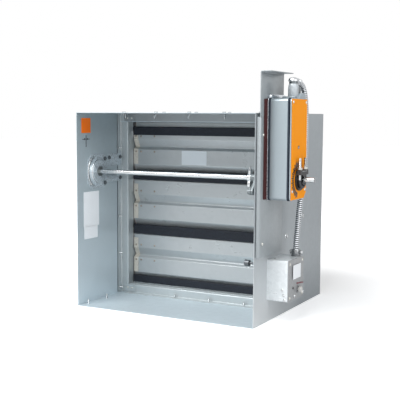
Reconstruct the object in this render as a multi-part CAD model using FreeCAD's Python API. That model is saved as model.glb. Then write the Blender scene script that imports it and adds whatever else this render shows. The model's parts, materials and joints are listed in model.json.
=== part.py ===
import FreeCAD, Part
import math
import os
from FreeCAD import Vector

# Combination fire smoke damper in a square sleeve, millimetres.
# X runs across the duct, Y along the airflow away from the actuator side's front edge, Z up.
# The origin is the middle of the sleeve's underside.

# Sleeve
sleeve_width = 508.0
sleeve_height = 508.0
sleeve_depth = 457.2
sleeve_gauge = 1.2

# Hat-channel frame
frame_setback = 188.0
frame_depth = 127.0
brim_width = 20.0
hat_height = 23.0
frame_gauge = 1.6
bend_radius = 1.5
corner_tab_reach = 34.0
corner_tab_height = 19.0
corner_tab_gauge = 1.2

# Blades
blade_count = 3
blade_gauge = 1.6
lower_reach = 82.0
top_blade_reach = 45.0
blade_overlap = 5.0
sill_gap = 7.8
head_reveal = 16.8
blade_end_gap = 3.8
face_offset = 18.0
lip_offset = 7.0
lip_height = 8.0
lip_slope = 17.0
vee_top = 13.0
vee_bottom = 15.0
vee_depth = 9.5
vee_root_low = 9.0
vee_root_width = 3.0
top_vee_depth = 6.0
top_vee_drop = 25.0
top_vee_height = 14.0
top_vee_limit = 60.0
end_strap_width = 14.0
end_strap_gauge = 1.0

# Blade seals and stops
seal_height = 23.0
top_seal_height = 20.2
seal_leg = 3.5
seal_cap = 3.0
seal_bulb_height = 9.0
seal_gap = 0.5
stop_gauge = 1.6
head_stop_drop = 22.0
stop_foot = 17.0
sill_stop_height = 21.8
sill_seal_cap = 2.0
sill_seal_leg = 3.0
sill_bulb_height = 11.0
sill_seal_lift = 2.5

# Axles, bearings and saddles
axle_radius = 6.35
running_clearance = 0.05
seat_clearance = 0.1
axle_inside = 66.0
bush_wall = 3.2
bush_proud = 1.5
bush_inside = 4.0
saddle_gauge = 2.0
saddle_length = 74.0
saddle_foot = 12.0
saddle_half_crown = 9.0
saddle_lean = 1.8

# Concealed linkage in the right jamb
crank_radius = 28.0
crank_start = -45.0
crank_gauge = 4.0
crank_gap = 1.0
crank_eye = 7.0
crank_boss = 11.0
pin_radius = 3.0
pin_head = 1.6
link_gap = 0.6
tie_bar_gauge = 4.0
tie_bar_width = 12.0
open_pivot_clearance = 0.4

# Jamb seals
jamb_seal_gauge = 0.5
jamb_seal_rise = 2.9
jamb_seal_width = 34.0
jamb_seal_end_gap = 2.0
jamb_seal_axle_gap = 16.0

# Jackshaft
shaft_setback = 91.0
shaft_height = 351.0
shaft_radius = 6.35
shaft_left_gap = 2.8
shaft_stub = 113.0
groove_width = 1.0
groove_depth = 0.6
end_slot_width = 1.6
end_slot_depth = 2.5

# Jackshaft bearing on the left wall
bracket_half = 46.0
bracket_chamfer = 17.0
bracket_gauge = 2.0
dish_outer = 39.0
dish_inner = 29.0
dish_height = 7.0
shaft_bush_wall = 4.6
shaft_bush_flange = 3.0
shaft_bush_flange_gauge = 2.0
bracket_bolt_offset = 33.0
bracket_bolt_radius = 4.5
bracket_bolt_head = 4.0
strut_joggle = 5.0
strut_joggle_gap = 0.1
strut_end_gap = 5.0
strut_bolt_shift = 2.0
strut_height = 34.0
strut_lift = 11.0
strut_bolt_inset = 8.0

# Drive crank and drive rod
drive_reach = 30.56494
drive_rod_clearance = 2.58019
drive_crank_gauge = 5.0
drive_rod_gauge = 6.0
drive_eye = 8.0
drive_pin_radius = 4.0
drive_pin_head = 2.5
drive_gap = 1.0
drive_rod_radius = 4.0
drive_rod_flat = 16.0
drive_hub_radius = 10.0
drive_hub_length = 14.0
drive_boss_radius = 12.0
clamp_plate_gauge = 5.0
clamp_plate_radius = 13.0
clamp_plate_top = 35.0
clamp_plate_tip = 5.0
clamp_bolt_radius = 3.0
clamp_bolt_head_radius = 5.0
clamp_bolt_head = 4.0
drive_ear_gauge = 3.0
drive_base_gauge = 2.0
drive_base_length = 14.0
drive_base_up = 5.0
drive_base_down = 16.0

# Mounting plate on the right wall
plate_setback = 15.0
plate_width = 132.0
plate_below_shaft = 194.0
plate_above_case = 62.0
plate_gauge = 2.0
plate_standoff = 10.0
plate_flange = 25.0
plate_bend = 3.0
plate_screw_inset = 9.0
plate_screw_rises = (43.0, 300.0)
pan_head_radius = 4.0
pan_head_height = 1.8

# Actuator
actuator_width = 100.0
actuator_below_shaft = 48.0
actuator_length = 240.0
actuator_corner = 9.0
actuator_base_depth = 5.0
gasket_depth = 4.0
gasket_inset = 1.2
gasket_width = 7.0
case_wall = 3.5
case_floor = 3.0
actuator_body_depth = 46.0
actuator_cover_depth = 3.0
face_plate_gauge = 0.8
face_plate_inset = 2.0
face_chamfer = 13.0
case_edge_round = 4.0
hump_width = 56.0
hump_shift = 16.0
hump_height = 13.0
hump_depth = 34.0
hump_slope = 10.0
cover_screw_inset = 9.0
drum_radius = 27.0
drum_depth = 16.0
drum_rise = 62.0
motor_rise = 140.0
motor_radius = 21.0
motor_length = 26.0
gear_case_half = 34.0
gear_case_depth = 12.0
winder_drop = 115.0
winder_radius = 4.0

# Actuator hub and clamp
hub_radius = 13.0
hub_clearance = 0.5
hub_ring_radius = 26.0
hub_ring_depth = 4.5
u_bolt_spread = 18.0
u_bolt_radius = 3.5
u_bolt_offset = 4.4
u_bolt_top = 52.0
clamp_bar_half = 25.0
clamp_bar_height = 12.0
clamp_bar_depth = 11.0
clamp_bar_lift = 12.0
clamp_bar_chamfer = 3.0
clamp_tooth_half = 11.0
clamp_nut_radius = 6.5
clamp_nut_height = 5.5
pointer_length = 36.0
pointer_width = 7.0
pointer_gauge = 1.2

# Sensor box
box_setback = 77.0
box_width = 100.0
box_bottom = 54.0
box_height = 101.0
box_depth = 54.0
box_wall = 1.6
box_corner = 4.0
cover_gauge = 2.0
cover_screw_spread = 9.0
entry_inset = 19.0
entry_radius = 11.1
switch_width = 44.0
switch_height = 40.0
switch_depth = 30.0
button_setback = 140.0
button_level = 77.0
button_radius = 7.0
button_travel = 4.0
button_clearance = 0.3
button_proud = 6.0
button_stem = 3.0
collar_width = 2.5
collar_height = 2.0

# Heat probe inside the duct
probe_setback = 92.0
probe_level = 139.0
probe_reach = 52.0
probe_radius = 3.0
probe_head_radius = 8.0
probe_head_length = 12.0
probe_gland_radius = 8.0
probe_gland_depth = 5.0
probe_wire_radius = 1.3

# Conduit and its connectors
conduit_radius = 7.25
gland_shift = 9.0
gland_inset = 13.0
gland_radius = 12.5
gland_height = 17.0
gland_neck_radius = 11.5
gland_neck_height = 9.0
gland_mouth_radius = 10.5
gland_mouth_reach = 23.0
box_gland_shift = 17.0
box_gland_inset = 15.0
box_gland_radius = 10.5
box_gland_height = 17.0
thread_radius = 8.5
locknut_radius = 13.0
locknut_height = 3.0
seat_gap = 0.3

# Sheet-metal screws through the sleeve
screw_head_radius = 5.0
screw_head_height = 4.0
screw_radius = 2.2
screw_tip = 6.0
top_screw_first = -237.0
top_screw_pitch = 104.0
top_screw_count = 5
rear_screw_first = -170.0
rear_screw_count = 4
left_front_levels = (16.0, 114.0, 219.0, 411.0)
right_front_levels = (58.0, 197.0, 330.0, 452.0)
side_rear_levels = (100.0, 239.0, 380.0)

# Places worked out from the sizes above
front = -sleeve_depth / 2
rear = sleeve_depth / 2
wall_out = sleeve_width / 2
wall_in = wall_out - sleeve_gauge
ceiling = sleeve_height - sleeve_gauge
frame_front = front + frame_setback
frame_back = frame_front + frame_depth
axle_y = frame_front + frame_depth / 2
web_x = wall_in - hat_height
sill_top = sleeve_gauge + hat_height
head_low = ceiling - hat_height
blade_end = web_x - blade_end_gap
first_level = sill_top + sill_gap + lower_reach
last_level = head_low - head_reveal - top_blade_reach
blade_pitch = (last_level - first_level) / (blade_count - 1)
upper_reach = blade_pitch + blade_overlap - lower_reach
axle_levels = [first_level + blade_pitch * i for i in range(blade_count)]
blade_names = ["bottom", "middle", "top"]
shaft_y = front + shaft_setback
drive_angle = math.atan2(last_level - shaft_height, axle_y - shaft_y)
drive_offset = drive_hub_radius + drive_rod_radius + drive_rod_clearance
drive_drop = (drive_offset + drive_reach * math.sin(drive_angle)) / math.cos(drive_angle)
plate_face = wall_out + plate_standoff
actuator_bottom = shaft_height - actuator_below_shaft
actuator_top = actuator_bottom + actuator_length
plate_bottom = shaft_height - plate_below_shaft
plate_top = actuator_top + plate_above_case
plate_front = front + plate_setback
plate_rear = plate_front + plate_width
actuator_front = shaft_y - actuator_width / 2
actuator_rear = shaft_y + actuator_width / 2
rear_gasket_x = plate_face + actuator_base_depth
body_x = rear_gasket_x + gasket_depth
front_gasket_x = body_x + actuator_body_depth
cover_x = front_gasket_x + gasket_depth
face_x = cover_x + actuator_cover_depth
hub_bore = hub_radius + hub_clearance
ring_x = face_x + face_plate_gauge + hub_clearance
clamp_x = ring_x + hub_ring_depth
groove_x = clamp_x + u_bolt_offset + clamp_bar_depth / 2 + seat_gap
crank_x = web_x + frame_gauge + bush_inside + crank_gap
tie_x = crank_x + crank_gauge + link_gap
ear_x = blade_end - end_strap_width - drive_gap - drive_ear_gauge
drive_rod_x = ear_x + drive_ear_gauge + drive_gap
drive_crank_x = drive_rod_x + drive_rod_gauge + drive_gap
clamp_plate_x = drive_crank_x - drive_hub_length - clamp_plate_gauge - drive_gap * 5
box_front = front + box_setback
box_rear = box_front + box_width
box_top = box_bottom + box_height
cover_face = wall_out + box_depth + cover_gauge
gland_x = front_gasket_x - gland_inset
gland_y = shaft_y + gland_shift
gland_mouth_z = actuator_top + hump_height + gland_height + gland_neck_height
box_gland_x = wall_out + box_depth - box_gland_inset
box_gland_y = box_rear - box_gland_shift
box_gland_top = box_top + box_gland_height


def block(x0, x1, y0, y1, z0, z1):
    return Part.makeBox(x1 - x0, y1 - y0, z1 - z0, Vector(x0, y0, z0))


def rod_x(x0, x1, y, z, radius):
    return Part.makeCylinder(radius, x1 - x0, Vector(x0, y, z), Vector(1, 0, 0))


def rod_y(y0, y1, x, z, radius):
    return Part.makeCylinder(radius, y1 - y0, Vector(x, y0, z), Vector(0, 1, 0))


def rod_z(z0, z1, x, y, radius):
    return Part.makeCylinder(radius, z1 - z0, Vector(x, y, z0), Vector(0, 0, 1))


def hex_z(z0, z1, x, y, radius):
    corners = [polar(radius, 60 * i) for i in range(6)]
    return prism([Vector(x + u, y + v, z0) for u, v in corners], Vector(0, 0, z1 - z0))


def hex_x(x0, x1, y, z, radius, sides=6):
    corners = [polar(radius, 360 / sides * (i + 0.5)) for i in range(sides)]
    return prism([Vector(x0, y + u, z + v) for u, v in corners], Vector(x1 - x0, 0, 0))


def polar(radius, degrees):
    angle = math.radians(degrees)
    return radius * math.cos(angle), radius * math.sin(angle)


def prism(points, along):
    return Part.Face(Part.makePolygon(points + [points[0]])).extrude(along)


def group(solids):
    return Part.makeCompound(solids)


def save(name, shape):
    shape.exportStep("parts/" + name + ".step")


def unit(a, b):
    length = math.hypot(b[0] - a[0], b[1] - a[1])
    return (b[0] - a[0]) / length, (b[1] - a[1]) / length


def bent_outline(points, gauge, side, radius):
    """Two curves of a bent sheet: its base line with rounded bends, and the same line moved by its gauge."""
    base = []
    moved = []
    first = unit(points[0], points[1])
    base.append((points[0],))
    moved.append((shift(points[0], first, gauge * side),))
    for before, corner, after in zip(points, points[1:], points[2:]):
        come = unit(before, corner)
        go = unit(corner, after)
        cross = come[0] * go[1] - come[1] * go[0]
        turn = math.atan2(cross, come[0] * go[0] + come[1] * go[1])
        hand = 1 if turn > 0 else -1
        reach = radius + gauge if hand == side else radius
        run = reach * math.tan(abs(turn) / 2)
        start = (corner[0] - come[0] * run, corner[1] - come[1] * run)
        end = (corner[0] + go[0] * run, corner[1] + go[1] * run)
        centre = shift(start, come, reach * hand)
        middle = (come[0] + go[0], come[1] + go[1])
        size = math.hypot(middle[0], middle[1])
        middle = (middle[0] / size, middle[1] / size)
        top = shift(centre, middle, -reach * hand)
        far = reach - gauge * side * hand
        base.append((start, top, end))
        moved.append((shift(start, come, gauge * side), shift(centre, middle, -far * hand),
                      shift(end, go, gauge * side)))
    last = unit(points[-2], points[-1])
    base.append((points[-1],))
    moved.append((shift(points[-1], last, gauge * side),))
    return base, moved


def shift(point, heading, distance):
    """Moves a point to the left of a heading."""
    return point[0] - heading[1] * distance, point[1] + heading[0] * distance


def bent_sheet(points, gauge, side, place, along, radius=bend_radius):
    """A sheet bent along a line of points, pushed along a vector."""
    base, moved = bent_outline(points, gauge, side, radius)
    edges = trace(base, place)
    back = [tuple(reversed(step)) for step in reversed(moved)]
    edges.append(Part.LineSegment(place(*base[-1][-1]), place(*back[0][0])).toShape())
    edges += trace(back, place)
    edges.append(Part.LineSegment(place(*back[-1][-1]), place(*base[0][0])).toShape())
    return Part.Face(Part.Wire(edges)).extrude(along)


def folded_sheet(points, gauge, side, place, along):
    """A thin sheet with sharp folds, pushed along a vector."""
    moved = [shift(points[0], unit(points[0], points[1]), gauge * side)]
    for before, corner, after in zip(points, points[1:], points[2:]):
        come = unit(before, corner)
        go = unit(corner, after)
        reach = gauge * side / (1 + come[0] * go[0] + come[1] * go[1])
        moved.append(shift(corner, (come[0] + go[0], come[1] + go[1]), reach))
    moved.append(shift(points[-1], unit(points[-2], points[-1]), gauge * side))
    return prism([place(*point) for point in points + moved[::-1]], along)


def trace(steps, place):
    edges = []
    here = steps[0][-1]
    for step in steps[1:]:
        edges.append(Part.LineSegment(place(*here), place(*step[0])).toShape())
        if len(step) == 3:
            edges.append(Part.Arc(place(*step[0]), place(*step[1]), place(*step[2])).toShape())
        here = step[-1]
    return edges


def rounded_plate(x0, x1, y0, y1, z0, z1, radius):
    solid = block(x0, x1, y0, y1, z0, z1)
    edges = [e for e in solid.Edges if abs(e.Length - (x1 - x0)) < 1e-6 and is_along_x(e)]
    return solid.makeFillet(radius, edges)


def is_along_x(edge):
    a, b = edge.Vertexes[0].Point, edge.Vertexes[-1].Point
    return abs(a.y - b.y) < 1e-6 and abs(a.z - b.z) < 1e-6


def link_plate(x, gauge, ends, radii):
    """A flat link in the YZ plane with a round eye at each end."""
    (y0, z0), (y1, z1) = ends
    r0, r1 = radii
    length = math.hypot(y1 - y0, z1 - z0)
    heading = ((y1 - y0) / length, (z1 - z0) / length)
    lean = math.asin((r0 - r1) / length)
    out = []
    for hand in (1, -1):
        normal = (heading[0] * math.sin(lean) - heading[1] * math.cos(lean) * hand,
                  heading[1] * math.sin(lean) + heading[0] * math.cos(lean) * hand)
        out.append(((y0 + normal[0] * r0, z0 + normal[1] * r0), (y1 + normal[0] * r1, z1 + normal[1] * r1)))
    tail = (y0 - heading[0] * r0, z0 - heading[1] * r0)
    tip = (y1 + heading[0] * r1, z1 + heading[1] * r1)
    at = lambda p: Vector(x, p[0], p[1])
    edges = [Part.LineSegment(at(out[0][0]), at(out[0][1])).toShape(),
             Part.Arc(at(out[0][1]), at(tip), at(out[1][1])).toShape(),
             Part.LineSegment(at(out[1][1]), at(out[1][0])).toShape(),
             Part.Arc(at(out[1][0]), at(tail), at(out[0][0])).toShape()]
    return Part.Face(Part.Wire(edges)).extrude(Vector(gauge, 0, 0))


# Sleeve panels
def side_panel(hand):
    x0, x1 = sorted((wall_in * hand, wall_out * hand))
    panel = block(x0, x1, front, rear, 0, sleeve_height)
    if hand > 0:
        panel = panel.cut(rod_x(x0, x1, shaft_y, shaft_height, shaft_radius + shaft_bush_wall + seat_clearance))
        panel = panel.cut(rod_x(x0, x1, front + probe_setback, probe_level, probe_radius + seat_clearance))
    return panel


def flat_panel(z0):
    return block(-wall_in, wall_in, front, rear, z0, z0 + sleeve_gauge)


# Hat-channel frame
def hat_points():
    inner = frame_depth - brim_width
    return [(frame_gauge, 0), (frame_gauge, brim_width), (hat_height, brim_width),
            (hat_height, inner), (frame_gauge, inner), (frame_gauge, frame_depth)]


def jamb(hand):
    place = lambda d, y: Vector(hand * (wall_in - d), frame_front + y, sleeve_gauge)
    shape = bent_sheet(hat_points(), frame_gauge, 1, place, Vector(0, 0, ceiling - sleeve_gauge))
    for level in axle_levels:
        hole = hex_x(-wall_in, wall_in, axle_y, level, axle_radius + bush_wall + seat_clearance, 8)
        shape = shape.cut(hole)
    return shape


def cross_member(at_head):
    clear = frame_gauge + bend_radius + seat_gap
    if at_head:
        place = lambda d, y: Vector(-web_x, frame_front + y, ceiling - d)
        tab_level = ceiling - clear - corner_tab_height
    else:
        place = lambda d, y: Vector(-web_x, frame_front + y, sleeve_gauge + d)
        tab_level = sleeve_gauge + clear
    channel = bent_sheet(hat_points(), frame_gauge, 1, place, Vector(2 * web_x, 0, 0))
    return group([channel] + corner_tabs(tab_level))


def corner_tabs(z0):
    y1 = frame_front + brim_width
    y0 = y1 - corner_tab_gauge
    tabs = []
    for hand in (-1, 1):
        x0, x1 = sorted((hand * (web_x + corner_tab_reach / 3), hand * (web_x - corner_tab_reach * 2 / 3)))
        tabs.append(block(x0, x1, y0, y1, z0, z0 + corner_tab_height))
    return tabs


def head_stop():
    u = -lip_offset
    points = [(u, head_low - head_stop_drop), (u, head_low), (u + stop_foot, head_low)]
    place = lambda a, z: Vector(-blade_end, axle_y + a, z)
    return bent_sheet(points, stop_gauge, -1, place, Vector(2 * blade_end, 0, 0))


def sill_stop():
    u = -face_offset
    points = [(u - stop_foot, sill_top), (u, sill_top), (u, sill_top + sill_stop_height)]
    place = lambda a, z: Vector(-blade_end, axle_y + a, z)
    return bent_sheet(points, stop_gauge, 1, place, Vector(2 * blade_end, 0, 0))


def sill_seal():
    back = -face_offset
    leg_front = back - stop_gauge
    top = sill_top + sill_stop_height
    low = sill_top + stop_gauge + sill_seal_lift
    bulb_back = -lip_offset - seal_gap - seat_clearance
    points = [(leg_front - sill_seal_leg, low), (leg_front, low), (leg_front, top), (back, top),
              (back, low), (bulb_back, low), (bulb_back, low + sill_bulb_height),
              (back + sill_seal_cap, low + sill_bulb_height), (back + sill_seal_cap, top + sill_seal_cap),
              (leg_front - sill_seal_leg, top + sill_seal_cap)]
    corners = [Vector(-blade_end, axle_y + a, z) for a, z in points]
    return prism(corners, Vector(2 * blade_end, 0, 0))


# Blades
def blade_points(upper):
    face = -face_offset
    root = face + vee_depth
    lip = -lip_offset
    points = [(lip, -lower_reach), (lip, -lower_reach + lip_height),
              (face, -lower_reach + lip_height + lip_slope), (face, -vee_bottom),
              (root, -vee_root_low), (root, -vee_root_low + vee_root_width), (face, vee_top)]
    if upper > top_vee_limit:
        low = upper - top_vee_drop
        quarter = top_vee_height / 3
        points += [(face, low), (face + top_vee_depth, low + quarter),
                   (face + top_vee_depth, low + 2 * quarter), (face, low + top_vee_height)]
    return points + [(face, upper)]


def blade(level, upper):
    place = lambda u, z: Vector(-blade_end, axle_y + u, level + z)
    return folded_sheet(blade_points(upper), blade_gauge, -1, place, Vector(2 * blade_end, 0, 0))


def end_straps(level, upper, seal):
    points = [p for p in blade_points(upper) if -lower_reach + lip_height < p[1] <= vee_top]
    points.append((-face_offset, min(upper - seal - seat_gap, vee_top + vee_depth * 3)))
    straps = []
    for x0 in (-blade_end, blade_end - end_strap_width):
        place = lambda u, z, x0=x0: Vector(x0, axle_y + u, level + z)
        straps.append(folded_sheet(points, end_strap_gauge, 1, place, Vector(end_strap_width, 0, 0)))
    return group(straps)


def blade_seal(level, upper, seal):
    face = -face_offset
    back = face + blade_gauge
    bulb_back = -lip_offset - seal_gap
    points = [(face - seal_leg, upper - seal), (face, upper - seal), (face, upper),
              (back, upper), (back, upper - seal_bulb_height), (bulb_back, upper - seal_bulb_height),
              (bulb_back, upper + seal_cap), (face - seal_leg, upper + seal_cap)]
    corners = [Vector(-blade_end, axle_y + u, level + z) for u, z in points]
    solid = prism(corners, Vector(2 * blade_end, 0, 0))
    long_edges = [e for e in solid.Edges if is_along_x(e)]
    outer = [e for e in long_edges if e.Vertexes[0].Point.z > level + upper + seal_cap - 0.01]
    return solid.makeFillet(seal_cap * 0.8, outer)


def saddles(level):
    back = -face_offset + blade_gauge
    crown = axle_radius + running_clearance
    lean = vee_bottom + saddle_lean
    points = [(back, -lean - saddle_foot), (back, -lean), (crown, -saddle_half_crown),
              (crown, saddle_half_crown), (back, lean), (back, lean + saddle_foot)]
    # The sheet lies on the outer side of this line, so its feet are seated on the blade's back.
    found = []
    for x0 in (-blade_end, blade_end - saddle_length):
        place = lambda u, z, x0=x0: Vector(x0, axle_y + u, level + z)
        found.append(folded_sheet(points, saddle_gauge, -1, place, Vector(saddle_length, 0, 0)))
    return group(found)


def axles(level):
    inside = blade_end - axle_inside
    left = rod_x(-(web_x + frame_gauge + bush_inside), -inside, axle_y, level, axle_radius)
    right = rod_x(inside, crank_x + crank_gauge, axle_y, level, axle_radius)
    return group([left, right.fuse(blade_crank(level)).removeSplitter()])


def blade_bushes():
    made = []
    bore = axle_radius + running_clearance
    outer = axle_radius + bush_wall
    for hand, level in [(hand, level) for hand in (-1, 1) for level in axle_levels]:
        x0, x1 = sorted((hand * (web_x - bush_proud), hand * (web_x + frame_gauge + bush_inside)))
        bush = hex_x(x0, x1, axle_y, level, outer, 8)
        made.append(bush.cut(rod_x(x0, x1, axle_y, level, bore)))
    return group(made)


def jamb_seals():
    low = sill_top + jamb_seal_end_gap
    spans = []
    for level in axle_levels:
        spans.append((low, level - jamb_seal_axle_gap))
        low = level + jamb_seal_axle_gap
    spans.append((low, head_low - jamb_seal_end_gap))
    half = jamb_seal_width / 2
    made = []
    for hand, (z0, z1) in [(hand, span) for hand in (-1, 1) for span in spans]:
        at = lambda d, y: Vector(hand * (web_x - d), axle_y + y, z0)
        rise = jamb_seal_rise
        gauge = jamb_seal_gauge
        edges = [Part.Arc(at(0, -half), at(rise, 0), at(0, half)).toShape(),
                 Part.LineSegment(at(0, half), at(0, half - gauge * 4)).toShape(),
                 Part.Arc(at(0, half - gauge * 4), at(rise - gauge, 0), at(0, -half + gauge * 4)).toShape(),
                 Part.LineSegment(at(0, -half + gauge * 4), at(0, -half)).toShape()]
        made.append(Part.Face(Part.Wire(edges)).extrude(Vector(0, 0, z1 - z0)))
    return group(made)


# Concealed linkage
def crank_pin_place(level):
    y, z = polar(crank_radius, crank_start)
    return axle_y + y, level + z


def angled_plate(x, gauge, ends, radii):
    """A flat link in the YZ plane with three-sided ends."""
    heading = unit(ends[0], ends[1])
    outline = []
    for (y, z), radius, way in ((ends[0], radii[0], -1), (ends[1], radii[1], 1)):
        for along, across in ((0, -way), (0.7, -way * 0.7), (0.7, way * 0.7), (0, way)):
            outline.append((y + radius * (heading[0] * along * way - heading[1] * across),
                            z + radius * (heading[1] * along * way + heading[0] * across)))
    return prism([Vector(x, y, z) for y, z in outline], Vector(gauge, 0, 0))


def blade_crank(level):
    pin_y, pin_z = crank_pin_place(level)
    shape = angled_plate(crank_x, crank_gauge, ((axle_y, level), (pin_y, pin_z)), (crank_boss, crank_eye))
    far = tie_x + tie_bar_gauge + link_gap
    pin = rod_x(crank_x + crank_gauge / 2, far, pin_y, pin_z, pin_radius)
    head = hex_x(far, far + pin_head, pin_y, pin_z, pin_radius * 1.7)
    return shape.fuse([pin, head]).removeSplitter()


def tie_bar():
    places = [crank_pin_place(level) for level in axle_levels]
    y, low = places[0]
    high = places[-1][1]
    half = tie_bar_width / 2
    bar = angled_plate(tie_x, tie_bar_gauge, ((y, low), (y, high)), (half, half))
    end = tie_x + tie_bar_gauge
    open_radius = (pin_radius + open_pivot_clearance) / math.cos(math.pi / 8)
    for pin_y, pin_z in (places[0], places[-1]):
        bar = bar.cut(hex_x(tie_x, end, pin_y, pin_z, open_radius, 8))
    for pin_y, pin_z in places[1:-1]:
        bar = bar.cut(rod_x(tie_x, end, pin_y, pin_z, pin_radius + running_clearance))
    return bar


# Jackshaft and its bearings
def jackshaft():
    """The shaft, with a groove outside the clamp and a slot across its end that shows the blades' angle."""
    end = wall_out + shaft_stub
    shaft = rod_x(-wall_in + shaft_left_gap, end, shaft_y, shaft_height, shaft_radius)
    groove = rod_x(groove_x, groove_x + groove_width, shaft_y, shaft_height, shaft_radius)
    groove = groove.cut(rod_x(groove_x, groove_x + groove_width, shaft_y, shaft_height, shaft_radius - groove_depth))
    half = end_slot_width / 2
    slot = block(end - end_slot_depth, end, shaft_y - half, shaft_y + half, shaft_height - shaft_radius,
                 shaft_height + shaft_radius)
    return shaft.cut(groove).cut(slot)


def shaft_bracket():
    wall = -wall_in
    h = bracket_half
    c = bracket_chamfer
    outline = [(-h, -h + c), (-h + c, -h), (h - c, -h), (h, -h + c), (h, h - c), (h - c, h), (-h + c, h), (-h, h - c)]
    corners = [Vector(wall, shaft_y + y, shaft_height + z) for y, z in outline]
    plate = prism(corners, Vector(bracket_gauge, 0, 0))
    plate = plate.cut(rod_x(wall, wall + bracket_gauge, shaft_y, shaft_height, dish_outer - bracket_gauge))
    section = [(dish_outer - bracket_gauge, 0), (dish_outer, 0), (dish_outer, bracket_gauge),
               (dish_inner, dish_height + bracket_gauge),
               (shaft_radius + shaft_bush_wall + seat_clearance, dish_height + bracket_gauge),
               (shaft_radius + shaft_bush_wall + seat_clearance, dish_height),
               (dish_inner - bracket_gauge / 2, dish_height)]
    ring = [Vector(wall + d, shaft_y + r, shaft_height) for r, d in section]
    face = Part.Face(Part.makePolygon(ring + [ring[0]]))
    dish = face.revolve(Vector(wall, shaft_y, shaft_height), Vector(1, 0, 0), 360)
    shape = plate.fuse(dish).removeSplitter()
    for y, z in bracket_bolt_places():
        shape = shape.cut(hex_x(wall, wall + bracket_gauge, y, z, bolt_shank()))
    return shape


def bolt_shank():
    return bracket_bolt_radius / 2


def bracket_bolt_places():
    offset = bracket_bolt_offset
    return [(shaft_y + a * offset, shaft_height + b * offset) for a in (-1, 1) for b in (-1, 1)]


def strut_bolt_places():
    z = shaft_height + strut_lift + strut_height * 0.7
    return [(shaft_y + bracket_half + strut_bolt_inset, z, 0.0),
            (frame_front + brim_width / 2 - strut_bolt_shift, z, frame_gauge + strut_joggle_gap)]


def bracket_strut():
    """Flat strap on the wall that steps over the frame's brim."""
    y0 = shaft_y + bracket_half
    lift = frame_gauge + strut_joggle_gap
    points = [(0, y0), (0, frame_front - strut_joggle), (lift, frame_front - seat_gap),
              (lift, frame_front + brim_width - strut_end_gap)]
    z0 = shaft_height + strut_lift
    place = lambda d, y: Vector(-wall_in + d, y, z0)
    strut = bent_sheet(points, bracket_gauge, -1, place, Vector(0, 0, strut_height))
    for y, z, offset in strut_bolt_places():
        strut = strut.cut(hex_x(-wall_in, -wall_in + offset + bracket_gauge, y, z, bolt_shank()))
    return strut


def bracket_bolts():
    made = []
    for y, z, offset in [(y, z, 0.0) for y, z in bracket_bolt_places()] + strut_bolt_places():
        foot = -wall_in + offset
        head_x = foot + bracket_gauge
        head = hex_x(head_x, head_x + bracket_bolt_head, y, z, bracket_bolt_radius * 1.15)
        made.append(head.fuse(hex_x(foot, head_x, y, z, bolt_shank())).removeSplitter())
    return group(made)


def shaft_bush(hand):
    """Flanged bush: the left one sits in the dished bracket, the right one in the sleeve wall."""
    outer = shaft_radius + shaft_bush_wall
    flange = outer + shaft_bush_flange
    if hand < 0:
        seat = -wall_in + dish_height + bracket_gauge
        x0 = -wall_in + shaft_left_gap
        x1 = seat
        f0, f1 = seat, seat + shaft_bush_flange_gauge
    else:
        x0, x1 = wall_in, wall_out + plate_standoff - plate_gauge - seat_gap
        f0, f1 = wall_in - shaft_bush_flange_gauge, wall_in
    bush = hex_x(x0, x1, shaft_y, shaft_height, outer, 8)
    bush = bush.fuse(hex_x(f0, f1, shaft_y, shaft_height, flange, 8)).removeSplitter()
    return bush.cut(rod_x(min(x0, f0), max(x1, f1), shaft_y, shaft_height, shaft_radius + running_clearance))


# Drive crank, drive rod and the bracket on the top blade
def drive_pin_place(y, z):
    return y - drive_reach, z - drive_drop


def drive_crank():
    pin_y, pin_z = drive_pin_place(shaft_y, shaft_height)
    ends = ((shaft_y, shaft_height), (pin_y, pin_z))
    arm = link_plate(drive_crank_x, drive_crank_gauge, ends, (drive_boss_radius, drive_eye))
    hub = rod_x(drive_crank_x - drive_hub_length, drive_crank_x, shaft_y, shaft_height, drive_hub_radius)
    pin_x = drive_rod_x - drive_gap / 2
    pin = rod_x(pin_x, drive_crank_x + drive_crank_gauge / 2, pin_y, pin_z, drive_pin_radius)
    head = rod_x(pin_x - drive_pin_head, pin_x, pin_y, pin_z, drive_pin_radius * 1.5)
    shape = arm.fuse([hub, pin, head]).removeSplitter()
    bore_end = drive_crank_x + drive_crank_gauge
    bore = rod_x(drive_crank_x - drive_hub_length, bore_end, shaft_y, shaft_height, shaft_radius + running_clearance)
    return shape.cut(bore)


def crank_clamp():
    top = shaft_height + clamp_plate_top
    ends = ((shaft_y, shaft_height), (shaft_y, top))
    plate = link_plate(clamp_plate_x, clamp_plate_gauge, ends, (clamp_plate_radius, clamp_plate_tip))
    x1 = clamp_plate_x + clamp_plate_gauge
    shape = plate.cut(rod_x(clamp_plate_x, x1, shaft_y, shaft_height, shaft_radius + running_clearance))
    sleeve_end = drive_crank_x - drive_hub_length
    sleeve = rod_x(x1, sleeve_end, shaft_y, shaft_height, drive_hub_radius)
    sleeve = sleeve.cut(rod_x(x1, sleeve_end, shaft_y, shaft_height, shaft_radius + running_clearance))
    return shape.cut(hex_x(clamp_plate_x, x1, shaft_y, top, clamp_bolt_radius)).fuse(sleeve).removeSplitter()


def clamp_bolt():
    top = shaft_height + clamp_plate_top
    x0 = clamp_plate_x - clamp_bolt_head
    x1 = clamp_plate_x + clamp_plate_gauge
    bolt = hex_x(x0, x1 + clamp_bolt_head, shaft_y, top, clamp_bolt_radius)
    head = hex_x(x0, clamp_plate_x, shaft_y, top, clamp_bolt_head_radius)
    nut = hex_x(x1, x1 + clamp_bolt_head, shaft_y, top, clamp_bolt_head_radius)
    return bolt.fuse([head, nut]).removeSplitter()


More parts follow.
